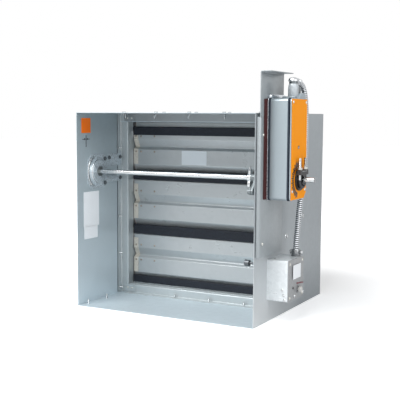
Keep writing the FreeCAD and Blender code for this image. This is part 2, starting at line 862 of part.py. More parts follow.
def drive_rod():
    start = drive_pin_place(shaft_y, shaft_height)
    end = drive_pin_place(axle_y, axle_levels[-1])
    heading = unit(start, end)
    length = math.hypot(end[0] - start[0], end[1] - start[1])
    parts = []
    for (y, z), hand in ((start, 1), (end, -1)):
        inner = (y + heading[0] * drive_rod_flat * hand, z + heading[1] * drive_rod_flat * hand)
        parts.append(link_plate(drive_rod_x, drive_rod_gauge, ((y, z), inner), (drive_eye, drive_rod_radius)))
    base = Vector(drive_rod_x + drive_rod_gauge / 2, start[0] + heading[0] * drive_rod_flat,
                  start[1] + heading[1] * drive_rod_flat)
    bar = Part.makeCylinder(drive_rod_radius - seat_clearance, length - 2 * drive_rod_flat, base,
                            Vector(0, heading[0], heading[1]))
    shape = bar.fuse(parts).removeSplitter()
    x0, x1 = drive_rod_x, drive_rod_x + drive_rod_gauge
    shape = shape.cut(rod_x(x0, x1, start[0], start[1], drive_pin_radius + running_clearance))
    return shape.cut(rod_x(x0, x1, end[0], end[1], drive_pin_radius + open_pivot_clearance))


def drive_bracket():
    pin_y, pin_z = drive_pin_place(axle_y, axle_levels[-1])
    face = axle_y - face_offset
    base = block(ear_x + drive_ear_gauge - drive_base_length, ear_x + drive_ear_gauge, face - drive_base_gauge, face,
                 pin_z - drive_base_down, pin_z + drive_base_up)
    ear = block(ear_x, ear_x + drive_ear_gauge, pin_y, face, pin_z - drive_eye, pin_z + drive_eye)
    round_end = rod_x(ear_x, ear_x + drive_ear_gauge, pin_y, pin_z, drive_eye)
    pin_end = drive_rod_x + drive_rod_gauge + drive_gap / 2
    pin = rod_x(ear_x, pin_end, pin_y, pin_z, drive_pin_radius)
    return base.fuse([ear, round_end, pin]).removeSplitter()


# Mounting plate on the right wall
def mounting_plate():
    y0, y1 = plate_front, plate_rear
    inner = plate_face - plate_gauge
    points = [(wall_out, y0), (plate_face, y0), (plate_face, y1), (wall_out, y1)]
    place = lambda x, y: Vector(x, y, plate_bottom)
    shape = bent_sheet(points, plate_gauge, 1, place, Vector(0, 0, plate_top - plate_bottom))
    flange = block(inner, plate_face + plate_flange, y0, y1, plate_top - plate_gauge, plate_top)
    shape = shape.fuse(flange).removeSplitter()
    shape = shape.cut(rod_x(inner, plate_face, shaft_y, shaft_height, hub_bore))
    for y, z in plate_screw_places():
        shape = shape.cut(hex_x(inner, plate_face, y, z, screw_radius + seat_clearance))
    return shape


def plate_screw_places():
    y = plate_front + plate_screw_inset
    return [(y, plate_bottom + rise) for rise in plate_screw_rises]


def pan_screw(x0, x1, y, z):
    head = hex_x(x1, x1 + pan_head_height, y, z, pan_head_radius, 8)
    return hex_x(x0, x1, y, z, screw_radius).fuse(head).removeSplitter()


def panel_screws():
    """The small screws of the mounting plate, the actuator's cover and the sensor box."""
    made = [pan_screw(wall_out, plate_face, y, z) for y, z in plate_screw_places()]
    made += [pan_screw(cover_x, face_x + face_plate_gauge, y, z) for y, z in cover_screw_places()]
    made += [pan_screw(wall_out + box_depth, cover_face, y, z) for y, z in box_screw_places()]
    return group(made)


# Actuator
def actuator_slice(x0, x1, inset, radius):
    shape = rounded_plate(x0, x1, actuator_front + inset, actuator_rear - inset, actuator_bottom + inset,
                          actuator_top - inset, radius)
    return shape.cut(rod_x(x0, x1, shaft_y, shaft_height, hub_bore))


def actuator_base():
    return actuator_slice(plate_face, rear_gasket_x, 0, actuator_corner)


def case_gasket(x0):
    inner = gasket_inset + gasket_width
    ring = actuator_slice(x0, x0 + gasket_depth, gasket_inset, actuator_corner - gasket_inset)
    return ring.cut(actuator_slice(x0, x0 + gasket_depth, inner, actuator_corner / 2).fuse(
        rod_x(x0, x0 + gasket_depth, shaft_y, shaft_height, hub_bore)))


def actuator_body():
    shape = actuator_slice(body_x, front_gasket_x, 0, actuator_corner)
    shape = shape.cut(rounded_plate(body_x + case_floor, front_gasket_x, actuator_front + case_wall,
                                    actuator_rear - case_wall, actuator_bottom + case_wall,
                                    actuator_top - case_wall, actuator_corner - case_wall))
    middle = (actuator_front + actuator_rear) / 2 + hump_shift
    x0 = front_gasket_x - hump_depth
    z0, z1 = actuator_top, actuator_top + hump_height
    half = hump_width / 2
    outline = [(middle - half, z0 - actuator_corner), (middle + half, z0 - actuator_corner), (middle + half, z0),
               (middle + half - hump_slope, z1), (middle - half + hump_slope, z1), (middle - half, z0)]
    hump = prism([Vector(x0, y, z) for y, z in outline], Vector(hump_depth, 0, 0))
    return shape.fuse(hump).removeSplitter()


def motor_unit():
    """The return-spring drum, and the gear case that carries the motor, on the floor of the case."""
    floor = body_x + case_floor
    drum = rod_x(floor, floor + drum_depth, shaft_y, shaft_height + drum_rise, drum_radius)
    z = shaft_height + motor_rise
    half = gear_case_half
    gear_case = block(floor, floor + gear_case_depth, shaft_y - half, shaft_y + half, z - half, z + half)
    motor = rod_x(floor + gear_case_depth, floor + gear_case_depth + motor_length, shaft_y, z, motor_radius)
    return group([drum, gear_case.fuse(motor).removeSplitter()])


def actuator_cover():
    shape = actuator_slice(cover_x, face_x, 0, actuator_corner)
    z = actuator_top - winder_drop
    shape = shape.cut(rod_x(cover_x, face_x, shaft_y, z, winder_radius))
    for y, z in cover_screw_places():
        shape = shape.cut(hex_x(cover_x, face_x, y, z, screw_radius))
    return group([shape, winder_socket()])


def face_plate():
    y0, y1 = actuator_front + face_plate_inset, actuator_rear - face_plate_inset
    z0, z1 = actuator_bottom + face_plate_inset, actuator_top - face_plate_inset
    c = face_chamfer
    outline = [(y0, z0), (y1 - c, z0), (y1, z0 + c), (y1, z1), (y0, z1)]
    plate = prism([Vector(face_x, y, z) for y, z in outline], Vector(face_plate_gauge, 0, 0))
    plate = plate.cut(rod_x(face_x, face_x + face_plate_gauge, shaft_y, shaft_height, hub_bore))
    plate = plate.cut(rod_x(face_x, face_x + face_plate_gauge, shaft_y, actuator_top - winder_drop, winder_radius))
    for y, z in cover_screw_places():
        plate = plate.cut(hex_x(face_x, face_x + face_plate_gauge, y, z, screw_radius))
    return plate


def cover_screw_places():
    inset = cover_screw_inset
    places = [(y, z) for y in (actuator_front + inset, actuator_rear - inset)
              for z in (actuator_top - inset, actuator_bottom + inset + face_chamfer)]
    return places


def winder_socket():
    z = actuator_top - winder_drop
    bush = rod_x(cover_x, face_x, shaft_y, z, winder_radius)
    return bush.cut(hex_x((cover_x + face_x) / 2, face_x, shaft_y, z, winder_radius * 0.7))


# Hub and clamp that turn with the shaft
def actuator_hub():
    bore_slack = shaft_radius + running_clearance
    sleeve = rod_x(plate_face - plate_gauge, clamp_x, shaft_y, shaft_height, hub_radius)
    ring = rod_x(ring_x, clamp_x, shaft_y, shaft_height, hub_ring_radius)
    shape = sleeve.fuse(ring).removeSplitter()
    return shape.cut(rod_x(plate_face - plate_gauge, clamp_x, shaft_y, shaft_height, bore_slack))


def u_bolt_x():
    return clamp_x + u_bolt_offset


def clamp_u_bolt():
    x = u_bolt_x()
    low = shaft_height
    spread = u_bolt_spread
    top = shaft_height + u_bolt_top
    path = Part.Wire([
        Part.LineSegment(Vector(x, shaft_y - spread, top), Vector(x, shaft_y - spread, low)).toShape(),
        Part.Arc(Vector(x, shaft_y - spread, low), Vector(x, shaft_y, low - spread),
                 Vector(x, shaft_y + spread, low)).toShape(),
        Part.LineSegment(Vector(x, shaft_y + spread, low), Vector(x, shaft_y + spread, top)).toShape()])
    corners = [polar(u_bolt_radius, 45 * i) for i in range(8)]
    corners = [Vector(x + u, shaft_y - spread + v, top) for u, v in corners]
    return path.makePipeShell([Part.makePolygon(corners + [corners[0]])], True, False)


def clamp_bar():
    """The upper bar of the clamp, with a blunt tooth that bears on the shaft."""
    x0, x1 = jaw_span()
    z0 = shaft_height + clamp_bar_lift
    z1 = z0 + clamp_bar_height
    half = clamp_bar_half
    tooth = clamp_tooth_half
    tip = shaft_height + shaft_radius + seat_clearance
    outline = [(-half, z0), (-tooth, z0), (-tooth / 3, tip), (tooth / 3, tip), (tooth, z0), (half, z0),
               (half, z1 - clamp_bar_chamfer), (half - clamp_bar_chamfer, z1), (clamp_bar_chamfer - half, z1),
               (-half, z1 - clamp_bar_chamfer)]
    bar = prism([Vector(x0, shaft_y + y, z) for y, z in outline], Vector(x1 - x0, 0, 0))
    for hand in (-1, 1):
        bar = bar.cut(leg_hole(z0, z1, shaft_y + hand * u_bolt_spread))
    return bar


def leg_hole(z0, z1, y):
    corners = [polar(u_bolt_radius + seat_clearance, 45 * i) for i in range(8)]
    return prism([Vector(u_bolt_x() + u, y + v, z0) for u, v in corners], Vector(0, 0, z1 - z0))


def jaw_span():
    return clamp_x + seat_gap, u_bolt_x() + clamp_bar_depth / 2


def clamp_jaw():
    """Vee block under the shaft, held up by the U-bolt."""
    x0, x1 = jaw_span()
    half = u_bolt_spread - u_bolt_radius - seat_gap
    reach = shaft_radius + seat_clearance
    touch = reach * math.sqrt(2)
    low = shaft_height - math.sqrt((u_bolt_spread - u_bolt_radius - seat_gap) ** 2 - (half * 0.55) ** 2)
    outline = [(-half * 0.55, low), (half * 0.55, low), (half * 0.85, shaft_height - half * 0.5),
               (touch * 0.7, shaft_height - touch * 0.3), (0, shaft_height - touch),
               (-touch * 0.7, shaft_height - touch * 0.3), (-half * 0.85, shaft_height - half * 0.5)]
    return prism([Vector(x0, shaft_y + y, z) for y, z in outline], Vector(x1 - x0, 0, 0))


def clamp_nuts():
    z0 = shaft_height + clamp_bar_lift + clamp_bar_height
    made = []
    for hand in (-1, 1):
        y = shaft_y + hand * u_bolt_spread
        nut = hex_z(z0, z0 + clamp_nut_height, u_bolt_x(), y, clamp_nut_radius)
        made.append(nut.cut(leg_hole(z0, z0 + clamp_nut_height, y)))
    return group(made)


# Sensor box, reset button and probe
def sensor_box():
    shape = rounded_plate(wall_out, wall_out + box_depth, box_front, box_rear, box_bottom, box_top, box_corner)
    inner = rounded_plate(wall_out + box_wall, wall_out + box_depth, box_front + box_wall, box_rear - box_wall,
                          box_bottom + box_wall, box_top - box_wall, box_corner - box_wall)
    shape = shape.cut(inner)
    shape = shape.cut(rod_x(wall_out, wall_out + box_wall, front + probe_setback, probe_level,
                            probe_radius + seat_clearance))
    shape = shape.cut(rod_z(box_bottom, box_bottom + box_wall, box_gland_x, box_front + entry_inset, entry_radius))
    return shape.cut(hex_z(box_top - box_wall, box_top, box_gland_x, box_gland_y, thread_radius + seat_clearance))


def box_cover():
    x0 = wall_out + box_depth
    shape = rounded_plate(x0, x0 + cover_gauge, box_front, box_rear, box_bottom, box_top, box_corner)
    shape = shape.cut(rod_x(x0, x0 + cover_gauge, front + button_setback, button_level,
                            button_stem + running_clearance))
    for y, z in box_screw_places():
        shape = shape.cut(hex_x(x0, x0 + cover_gauge, y, z, screw_radius))
    return group([shape, reset_collar()])


def box_screw_places():
    s = cover_screw_spread
    return [(box_front + s, box_bottom + s), (box_rear - s, box_bottom + s),
            (box_front + s, box_top - s), (box_rear - s, box_top - s)]


def reset_collar():
    y, z = front + button_setback, button_level
    ring = rod_x(cover_face, cover_face + collar_height, y, z, button_radius + button_clearance + collar_width)
    return ring.cut(rod_x(cover_face, cover_face + collar_height, y, z, button_radius + button_clearance))


def reset_button():
    y, z = front + button_setback, button_level
    cap = rod_x(cover_face + button_travel + seat_gap, cover_face + button_travel + button_proud, y, z, button_radius)
    stem_start = wall_out + box_wall + switch_depth + button_travel + seat_gap
    stem = rod_x(stem_start, cover_face + button_travel + seat_gap, y, z, button_stem)
    return cap.fuse(stem).removeSplitter()


def limit_switch():
    y, z = front + button_setback, button_level
    x0 = wall_out + box_wall
    low = max(z - switch_height / 2, box_bottom + box_wall + seat_gap)
    return block(x0, x0 + switch_depth, y - switch_width / 2, y + switch_width / 2, low, low + switch_height)


def heat_probe():
    y, z = front + probe_setback, probe_level
    stem = rod_x(wall_in - probe_reach, wall_out + box_wall + 6, y, z, probe_radius)
    head = rod_x(wall_in - probe_reach - probe_head_length, wall_in - probe_reach, y, z, probe_head_radius)
    return stem.fuse(head).removeSplitter()


def probe_gland():
    y, z = front + probe_setback, probe_level
    ring = hex_x(wall_in - probe_gland_depth, wall_in, y, z, probe_gland_radius)
    return ring.cut(rod_x(wall_in - probe_gland_depth, wall_in, y, z, probe_radius + seat_clearance))


# Conduit with its two connectors
def conduit_points():
    """The route from the upper connector's mouth down to the box, set out from its two ends."""
    y0, z0 = gland_y + gland_mouth_reach, gland_mouth_z
    x1, y1, z1 = box_gland_x, box_gland_y, box_gland_top
    return [(gland_x, y0, z0), (gland_x, y0 + 24.0, z0), (gland_x + 3.0, y1 - 2.0, z0 - 22.0),
            (gland_x + 5.5, y1, z0 - 80.0), (x1 + 19.5, y1, z1 + 208.0), (x1 + 16.0, y1 + 4.0, z1 + 112.0),
            (x1 + 5.0, y1 + 4.0, z1 + 44.0), (x1, y1, z1 + 18.0), (x1, y1, z1)]


def conduit():
    """A tube along straight runs joined by tangent arcs, each as large as its runs allow."""
    points = [Vector(*p) for p in conduit_points()]
    edges = []
    here = points[0]
    total = 0.0
    radii = []
    for before, corner, after in zip(points, points[1:], points[2:]):
        come = (corner - before).normalize()
        go = (after - corner).normalize()
        turn = come.getAngle(go)
        shorter = min((corner - before).Length, (after - corner).Length)
        run = 0.45 * shorter
        radius = run / math.tan(turn / 2)
        start = corner - come * run
        end = corner + go * run
        inward = (go - come).normalize()
        depth = radius / math.cos(turn / 2) - radius
        edges.append(Part.LineSegment(here, start).toShape())
        edges.append(Part.Arc(start, corner + inward * depth, end).toShape())
        total += (start - here).Length + radius * turn
        radii.append(radius)
        here = end
    edges.append(Part.LineSegment(here, points[-1]).toShape())
    total += (points[-1] - here).Length
    path = Part.Wire(edges)
    heading = (points[1] - points[0]).normalize()
    section = Part.Face(Part.Wire([Part.Circle(points[0], heading, conduit_radius).toShape()]))
    tube = path.makePipe(section)
    print("conduit length", round(total, 1), "volume share",
          round(tube.Volume / (math.pi * conduit_radius ** 2 * total), 4))
    print("conduit radii", [round(r, 1) for r in radii])
    return tube


def top_connector():
    """Threaded hub, neck and domed elbow on the case, turned about an upright axis, with its mouth to the rear."""
    z0 = actuator_top + hump_height
    z1 = z0 + gland_height
    neck = gland_neck_radius
    section = [(0, z0), (gland_radius, z0), (gland_radius, z1), (neck, z1), (neck, gland_mouth_z),
               (neck * 0.85, gland_mouth_z + neck * 0.55), (neck * 0.5, gland_mouth_z + neck * 0.85),
               (0, gland_mouth_z + neck)]
    points = [Vector(gland_x + r, gland_y, z) for r, z in section]
    turned = Part.Face(Part.makePolygon(points + [points[0]])).revolve(
        Vector(gland_x, gland_y, 0), Vector(0, 0, 1), 360)
    mouth = rod_y(gland_y, gland_y + gland_mouth_reach, gland_x, gland_mouth_z, gland_mouth_radius)
    return turned.fuse(mouth).removeSplitter()


def box_connector():
    x, y, z0 = box_gland_x, box_gland_y, box_top
    collar = hex_z(z0, z0 + locknut_height, x, y, locknut_radius)
    barrel = rod_z(z0 + locknut_height, box_gland_top, x, y, box_gland_radius)
    low = z0 - box_wall - locknut_height
    thread = hex_z(low, z0, x, y, thread_radius)
    nut = hex_z(low, z0 - box_wall, x, y, box_gland_radius + 1)
    return collar.fuse([barrel, thread, nut]).removeSplitter()


# Sheet-metal screws
def hex_bar(base, along, radius):
    side = Vector(0, 1, 0)
    up = along.cross(side).normalize()
    corners = [base + side * u + up * v for u, v in (polar(radius, 60 * i) for i in range(6))]
    return prism(corners, along)


def sleeve_screw(place, outward, grip):
    shank = hex_bar(place - outward * (grip + screw_tip), outward * (grip + screw_tip), screw_radius)
    head = hex_bar(place, outward * screw_head_height, screw_head_radius)
    return shank.fuse(head).removeSplitter()


def frame_screws():
    y_front = frame_front + brim_width / 2
    y_rear = frame_back - brim_width / 2
    up = Vector(0, 0, 1)
    top = [Vector(top_screw_first + top_screw_pitch * i, y_front, sleeve_height) for i in range(top_screw_count)]
    top += [Vector(rear_screw_first + top_screw_pitch * i, y_rear, sleeve_height) for i in range(rear_screw_count)]
    made = [(place, up) for place in top]
    for hand, levels in ((-1, left_front_levels), (1, right_front_levels)):
        out = Vector(hand, 0, 0)
        made += [(Vector(hand * wall_out, y_front, z), out) for z in levels]
        made += [(Vector(hand * wall_out, y_rear, z), out) for z in side_rear_levels]
    return made


def place_screws(parts):
    """Cuts a snug hole for each screw through the sheets that it joins, then returns the screws."""
    grip = sleeve_gauge + frame_gauge
    screws = []
    for place, outward in frame_screws():
        hole = hex_bar(place - outward * (grip + screw_tip), outward * (grip + screw_tip), screw_radius)
        for name in parts:
            if parts[name].BoundBox.intersect(hole.BoundBox):
                parts[name] = parts[name].cut(hole)
        screws.append(sleeve_screw(place, outward, grip))
    return group(screws)


def build():
    os.makedirs("parts", exist_ok=True)
    shell = {
        "sleeve_left_panel": side_panel(-1),
        "sleeve_right_panel": side_panel(1),
        "sleeve_top_panel": flat_panel(ceiling),
        "sleeve_bottom_panel": flat_panel(0),
        "frame_left_jamb": jamb(-1),
        "frame_right_jamb": jamb(1),
        "frame_head": cross_member(True),
        "frame_sill": cross_member(False),
    }
    screws = place_screws(shell)
    for name in shell:
        save(name, shell[name])
    save("frame_screws", screws)
    save("head_stop", head_stop())
    save("sill_stop", sill_stop())
    save("sill_seal", sill_seal())
    save("blade_bushes", blade_bushes())
    save("jamb_seals", jamb_seals())
    for index, level in enumerate(axle_levels):
        is_top = index == blade_count - 1
        upper = top_blade_reach if is_top else upper_reach
        seal = top_seal_height if is_top else seal_height
        name = blade_names[index]
        save("blade_" + name, blade(level, upper))
        save("end_straps_" + name, end_straps(level, upper, seal))
        save("blade_seal_" + name, blade_seal(level, upper, seal))
        save("saddles_" + name, saddles(level))
        save("axles_" + name, axles(level))
    save("tie_bar", tie_bar())
    save("jackshaft", jackshaft())
    save("shaft_bracket", group([shaft_bracket(), bracket_strut()]))
    save("bracket_bolts", bracket_bolts())
    save("shaft_bushes", group([shaft_bush(-1), shaft_bush(1)]))
    save("drive_crank", drive_crank())
    save("crank_clamp", group([crank_clamp(), clamp_bolt()]))
    save("drive_rod", drive_rod())
    save("drive_bracket", drive_bracket())
    save("mounting_plate", mounting_plate())
    save("panel_screws", panel_screws())
    save("actuator_base", actuator_base())
    save("case_gaskets", group([case_gasket(rear_gasket_x), case_gasket(front_gasket_x)]))
    save("actuator_body", actuator_body())
    save("actuator_motor_unit", motor_unit())
    save("actuator_cover", actuator_cover())
    save("face_plate", face_plate())
    save("actuator_hub", actuator_hub())
    save("clamp_u_bolt", group([clamp_u_bolt(), clamp_nuts()]))
    save("clamp_jaws", group([clamp_bar(), clamp_jaw()]))
    save("sensor_box", sensor_box())
    save("box_cover", box_cover())
    save("reset_button", reset_button())
    save("limit_switch", limit_switch())
    save("heat_probe", group([heat_probe(), probe_gland()]))
    save("flex_conduit", conduit())
    save("conduit_connectors", group([top_connector(), box_connector()]))


build()
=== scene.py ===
import json
import math
import bpy
import bmesh
from mathutils import Matrix, Vector


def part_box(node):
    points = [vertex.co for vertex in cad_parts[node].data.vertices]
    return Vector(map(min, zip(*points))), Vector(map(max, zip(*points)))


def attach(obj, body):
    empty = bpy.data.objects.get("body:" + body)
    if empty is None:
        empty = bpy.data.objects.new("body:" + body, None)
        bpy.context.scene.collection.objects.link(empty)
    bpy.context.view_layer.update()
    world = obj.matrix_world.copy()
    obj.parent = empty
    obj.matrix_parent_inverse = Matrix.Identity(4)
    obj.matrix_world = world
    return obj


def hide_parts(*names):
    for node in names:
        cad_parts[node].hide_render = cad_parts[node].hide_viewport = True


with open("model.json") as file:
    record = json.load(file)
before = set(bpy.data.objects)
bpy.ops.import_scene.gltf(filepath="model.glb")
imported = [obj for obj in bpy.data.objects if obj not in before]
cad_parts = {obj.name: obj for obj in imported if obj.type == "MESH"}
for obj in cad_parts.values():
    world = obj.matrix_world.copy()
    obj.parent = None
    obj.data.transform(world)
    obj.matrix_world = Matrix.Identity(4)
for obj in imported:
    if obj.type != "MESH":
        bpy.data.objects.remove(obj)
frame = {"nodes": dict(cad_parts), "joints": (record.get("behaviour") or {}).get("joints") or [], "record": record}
nodes = frame["nodes"]
scene = bpy.context.scene
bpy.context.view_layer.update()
print("frame loaded:", len(nodes), "nodes")


# small helpers

def place(point, outward):
    # local Z points outward from a surface
    return Matrix.Translation(Vector(point)) @ Vector(outward).to_track_quat("Z", "Y").to_matrix().to_4x4()


def finishPiece(name, bm, material, body, angle=40, recalc=True):
    # a visible piece in one finish, on the body that carries it
    if recalc:
        bmesh.ops.recalc_face_normals(bm, faces=bm.faces)
    mesh = bpy.data.meshes.new(name)
    bm.to_mesh(mesh)
    bm.free()
    mesh.shade_smooth()
    mesh.set_sharp_from_angle(angle=math.radians(angle))
    mesh.materials.append(material)
    piece = bpy.data.objects.new(name, mesh)
    scene.collection.objects.link(piece)
    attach(piece, body)
    return piece


def addCone(bm, at, radius, top, height, sides=24, lift=0.0):
    # stands on the local ground of the given matrix
    up = Matrix.Translation((0, 0, lift + height / 2))
    bmesh.ops.create_cone(bm, cap_ends=True, segments=sides, radius1=radius, radius2=top, depth=height,
                          matrix=at @ up)


def vertsIn(geom):
    return [item for item in geom if isinstance(item, bmesh.types.BMVert)]


def edgesIn(geom):
    return [item for item in geom if isinstance(item, bmesh.types.BMEdge)]


def jointPlace(name):
    # where a joint's axis passes
    return Vector(next(joint for joint in frame["joints"] if joint["name"] == name)["pos_m"])


def bevelCorners(bm, width, segments):
    bmesh.ops.bevel(bm, geom=bm.verts[:], offset=width, offset_type="OFFSET", affect="VERTICES",
                    segments=segments, profile=0.5, material=-1)


def bevelEdges(bm, edges, width):
    bmesh.ops.bevel(bm, geom=edges, offset=width, offset_type="OFFSET", affect="EDGES", segments=3,
                    profile=0.5, material=-1)


def pour(bm, other):
    # moves a finished small mesh into the larger one
    mesh = bpy.data.meshes.new("pour")
    other.to_mesh(mesh)
    other.free()
    bm.from_mesh(mesh)
    bpy.data.meshes.remove(mesh)


def roundedPlate(bm, low, high, corner, edge=0.0, turn=None):
    # a slab that faces X between two corners, with rounded corners and softened rims
    low, high = Vector(low), Vector(high)
    size = high - low
    slab = bmesh.new()
    bmesh.ops.create_grid(slab, x_segments=1, y_segments=1, size=0.5)
    bmesh.ops.transform(slab, matrix=Matrix.Diagonal((size.y, size.z, 1, 1)), verts=slab.verts)
    bevelCorners(slab, corner, 6)
    face = bmesh.ops.extrude_face_region(slab, geom=slab.faces[:])["geom"]
    bmesh.ops.translate(slab, vec=(0, 0, size.x), verts=vertsIn(face))
    if edge:
        rims = [e for e in slab.edges if abs(e.verts[0].co.z - e.verts[1].co.z) < 1e-7]
        bevelEdges(slab, rims, edge)
    spot = Matrix((Vector((0, 1, 0)), Vector((0, 0, 1)), Vector((1, 0, 0)))).transposed().to_4x4()
    centre = Matrix.Translation((low.x, (low.y + high.y) / 2, (low.z + high.z) / 2))
    bmesh.ops.transform(slab, matrix=centre @ spot @ (turn or Matrix()), verts=slab.verts)
    pour(bm, slab)


def softBlock(bm, low, high, edge, at=None):
    # a block with every edge rounded
    low, high = Vector(low), Vector(high)
    block = bmesh.new()
    size = high - low
    spot = Matrix.Translation((low + high) / 2) @ Matrix.Diagonal((size.x, size.y, size.z, 1))
    bmesh.ops.create_cube(block, size=1, matrix=spot)
    bevelEdges(block, block.edges[:], edge)
    if at:
        bmesh.ops.transform(block, matrix=at, verts=block.verts)
    pour(bm, block)


def spinProfile(bm, profile, at, steps=36):
    # a half outline of radius and height, turned about the local Z
    turned = bmesh.new()
    verts = [turned.verts.new((r, 0, z)) for r, z in profile]
    edges = [turned.edges.new(pair) for pair in zip(verts, verts[1:])]
    bmesh.ops.spin(turned, geom=verts + edges, cent=(0, 0, 0), axis=(0, 0, 1), angle=2 * math.pi, steps=steps,
                   use_merge=True)
    bmesh.ops.remove_doubles(turned, verts=turned.verts, dist=1e-6)
    bmesh.ops.transform(turned, matrix=at, verts=turned.verts)
    pour(bm, turned)


def stripAlong(bm, profile, along):
    # a profile drawn out into a sheet
    verts = [bm.verts.new(point) for point in profile]
    edges = [bm.edges.new(pair) for pair in zip(verts, verts[1:])]
    made = bmesh.ops.extrude_edge_only(bm, edges=edges)["geom"]
    bmesh.ops.translate(bm, vec=along, verts=vertsIn(made))


def thicken(piece, gauge, rim=0.0):
    # gives a bent sheet its gauge and soft rims
    solid = piece.modifiers.new("gauge", "SOLIDIFY")
    solid.thickness = gauge
    solid.offset = 0
    solid.use_even_offset = True
    if rim:
        bevel = piece.modifiers.new("rim", "BEVEL")
        bevel.width = rim
        bevel.segments = 2
        bevel.limit_method = "ANGLE"
        bevel.angle_limit = math.radians(50)


def solidsOf(node):
    # the boxes of a node's separate solids
    bm = bmesh.new()
    bm.from_mesh(nodes[node].data)
    bmesh.ops.remove_doubles(bm, verts=bm.verts, dist=1e-6)
    waiting = set(bm.verts)
    boxes = []
    while waiting:
        stack = [waiting.pop()]
        found = list(stack)
        while stack:
            for edge in stack.pop().link_edges:
                for vert in edge.verts:
                    if vert in waiting:
                        waiting.remove(vert)
                        stack.append(vert)
                        found.append(vert)
        low = Vector([min(v.co[i] for v in found) for i in range(3)])
        high = Vector([max(v.co[i] for v in found) for i in range(3)])
        boxes.append((low, high))
    bm.free()
    return sorted(boxes, key=lambda box: [round(c, 5) for c in box[0]])


# shader groups

def newGroup(name, inputs, outputs):
    group = bpy.data.node_groups.new(name, "ShaderNodeTree")
    for label, kind, value in inputs:
        socket = group.interface.new_socket(label, in_out="INPUT", socket_type=kind)
        if value is not None:
            socket.default_value = value
    for label, kind in outputs:
        group.interface.new_socket(label, in_out="OUTPUT", socket_type=kind)
    return group, group.nodes.new("NodeGroupInput"), group.nodes.new("NodeGroupOutput")


def feed(tree, socket, value):
    # a number or a colour is set, an output is linked
    if isinstance(value, (int, float)):
        socket.default_value = value
    elif isinstance(value, tuple):
        socket.default_value = (*value, 1)
    else:
        tree.links.new(value, socket)


def mathNode(tree, operation, first, second, clamp=False):
    node = tree.nodes.new("ShaderNodeMath")
    node.operation = operation
    node.use_clamp = clamp
    feed(tree, node.inputs[0], first)
    feed(tree, node.inputs[1], second)
    return node.outputs[0]


def mixColor(tree, factor, first, second, blend="MIX"):
    node = tree.nodes.new("ShaderNodeMix")
    node.data_type = "RGBA"
    node.blend_type = blend
    for index, value in ((0, factor), (6, first), (7, second)):
        feed(tree, node.inputs[index], value)
    return node.outputs[2]


def noiseNode(tree, vector, scale, detail=3.0, roughness=0.55):
    node = tree.nodes.new("ShaderNodeTexNoise")
    node.inputs["Detail"].default_value = detail
    node.inputs["Roughness"].default_value = roughness
    feed(tree, node.inputs["Scale"], scale)
    tree.links.new(vector, node.inputs["Vector"])
    return node.outputs[0]


def rampNode(tree, value, low, high, fromLow, fromHigh):
    node = tree.nodes.new("ShaderNodeMapRange")
    tree.links.new(value, node.inputs[0])
    for index, number in enumerate((fromLow, fromHigh, low, high)):
        node.inputs[index + 1].default_value = number
    return node.outputs[0]


def zincGroup():
    # zinc crystals, rolling grain and soft clouds
    group, source, target = newGroup("zincSkin", [
        ("Vector", "NodeSocketVector", None), ("Spangle Scale", "NodeSocketFloat", 90.0),
        ("Spangle Amount", "NodeSocketFloat", 0.3), ("Grain Amount", "NodeSocketFloat", 0.2),
        ("Cloud Amount", "NodeSocketFloat", 0.4)],
        [("Tone", "NodeSocketFloat"), ("Height", "NodeSocketFloat")])
    vector = source.outputs["Vector"]
    warp = group.nodes.new("ShaderNodeVectorMath")
    warp.operation = "MULTIPLY_ADD"
    warpNoise = group.nodes.new("ShaderNodeTexNoise")
    warpNoise.inputs["Scale"].default_value = 70
    group.links.new(vector, warpNoise.inputs["Vector"])
    group.links.new(warpNoise.outputs["Color"], warp.inputs[0])
    warp.inputs[1].default_value = (0.006, 0.006, 0.006)
    group.links.new(vector, warp.inputs[2])
    cells = group.nodes.new("ShaderNodeTexVoronoi")
    group.links.new(warp.outputs[0], cells.inputs["Vector"])
    group.links.new(source.outputs["Spangle Scale"], cells.inputs["Scale"])
    shade = group.nodes.new("ShaderNodeSeparateColor")
    group.links.new(cells.outputs["Color"], shade.inputs[0])
    stretch = group.nodes.new("ShaderNodeMapping")
    stretch.inputs["Scale"].default_value = (1, 1, 14)
    group.links.new(vector, stretch.inputs["Vector"])
    grain = noiseNode(group, stretch.outputs[0], 60.0, 4.0)
    cloud = noiseNode(group, vector, 7.0, 2.0)
    parts = []
    amounts = {"Spangle Amount": shade.outputs[0], "Grain Amount": grain, "Cloud Amount": cloud}
    for amount, value in amounts.items():
        centred = mathNode(group, "SUBTRACT", value, 0.5)
        parts.append(mathNode(group, "MULTIPLY", centred, source.outputs[amount]))
    total = mathNode(group, "ADD", mathNode(group, "ADD", parts[0], parts[1]), parts[2])
    group.links.new(mathNode(group, "ADD", total, 0.5, clamp=True), target.inputs["Tone"])
    height = mathNode(group, "ADD", mathNode(group, "MULTIPLY", grain, 0.6), parts[0])
    group.links.new(height, target.inputs["Height"])
    return group


def wearGroup():
    # patches of dust or rubbing, and a fine speckle
    group, source, target = newGroup("handlingMarks", [
        ("Vector", "NodeSocketVector", None), ("Patch Scale", "NodeSocketFloat", 14.0),
        ("Patch Share", "NodeSocketFloat", 0.4), ("Speck Scale", "NodeSocketFloat", 260.0)],
        [("Mask", "NodeSocketFloat"), ("Speck", "NodeSocketFloat")])
    vector = source.outputs["Vector"]
    patch = noiseNode(group, vector, source.outputs["Patch Scale"], 5.0, 0.62)
    share = mathNode(group, "MULTIPLY", source.outputs["Patch Share"], 0.5)
    edge = mathNode(group, "SUBTRACT", patch, mathNode(group, "SUBTRACT", 0.85, share))
    group.links.new(mathNode(group, "MULTIPLY", edge, 5.0, clamp=True), target.inputs["Mask"])
    group.links.new(noiseNode(group, vector, source.outputs["Speck Scale"], 2.0), target.inputs["Speck"])
    return group


zincSkin = zincGroup()
handlingMarks = wearGroup()


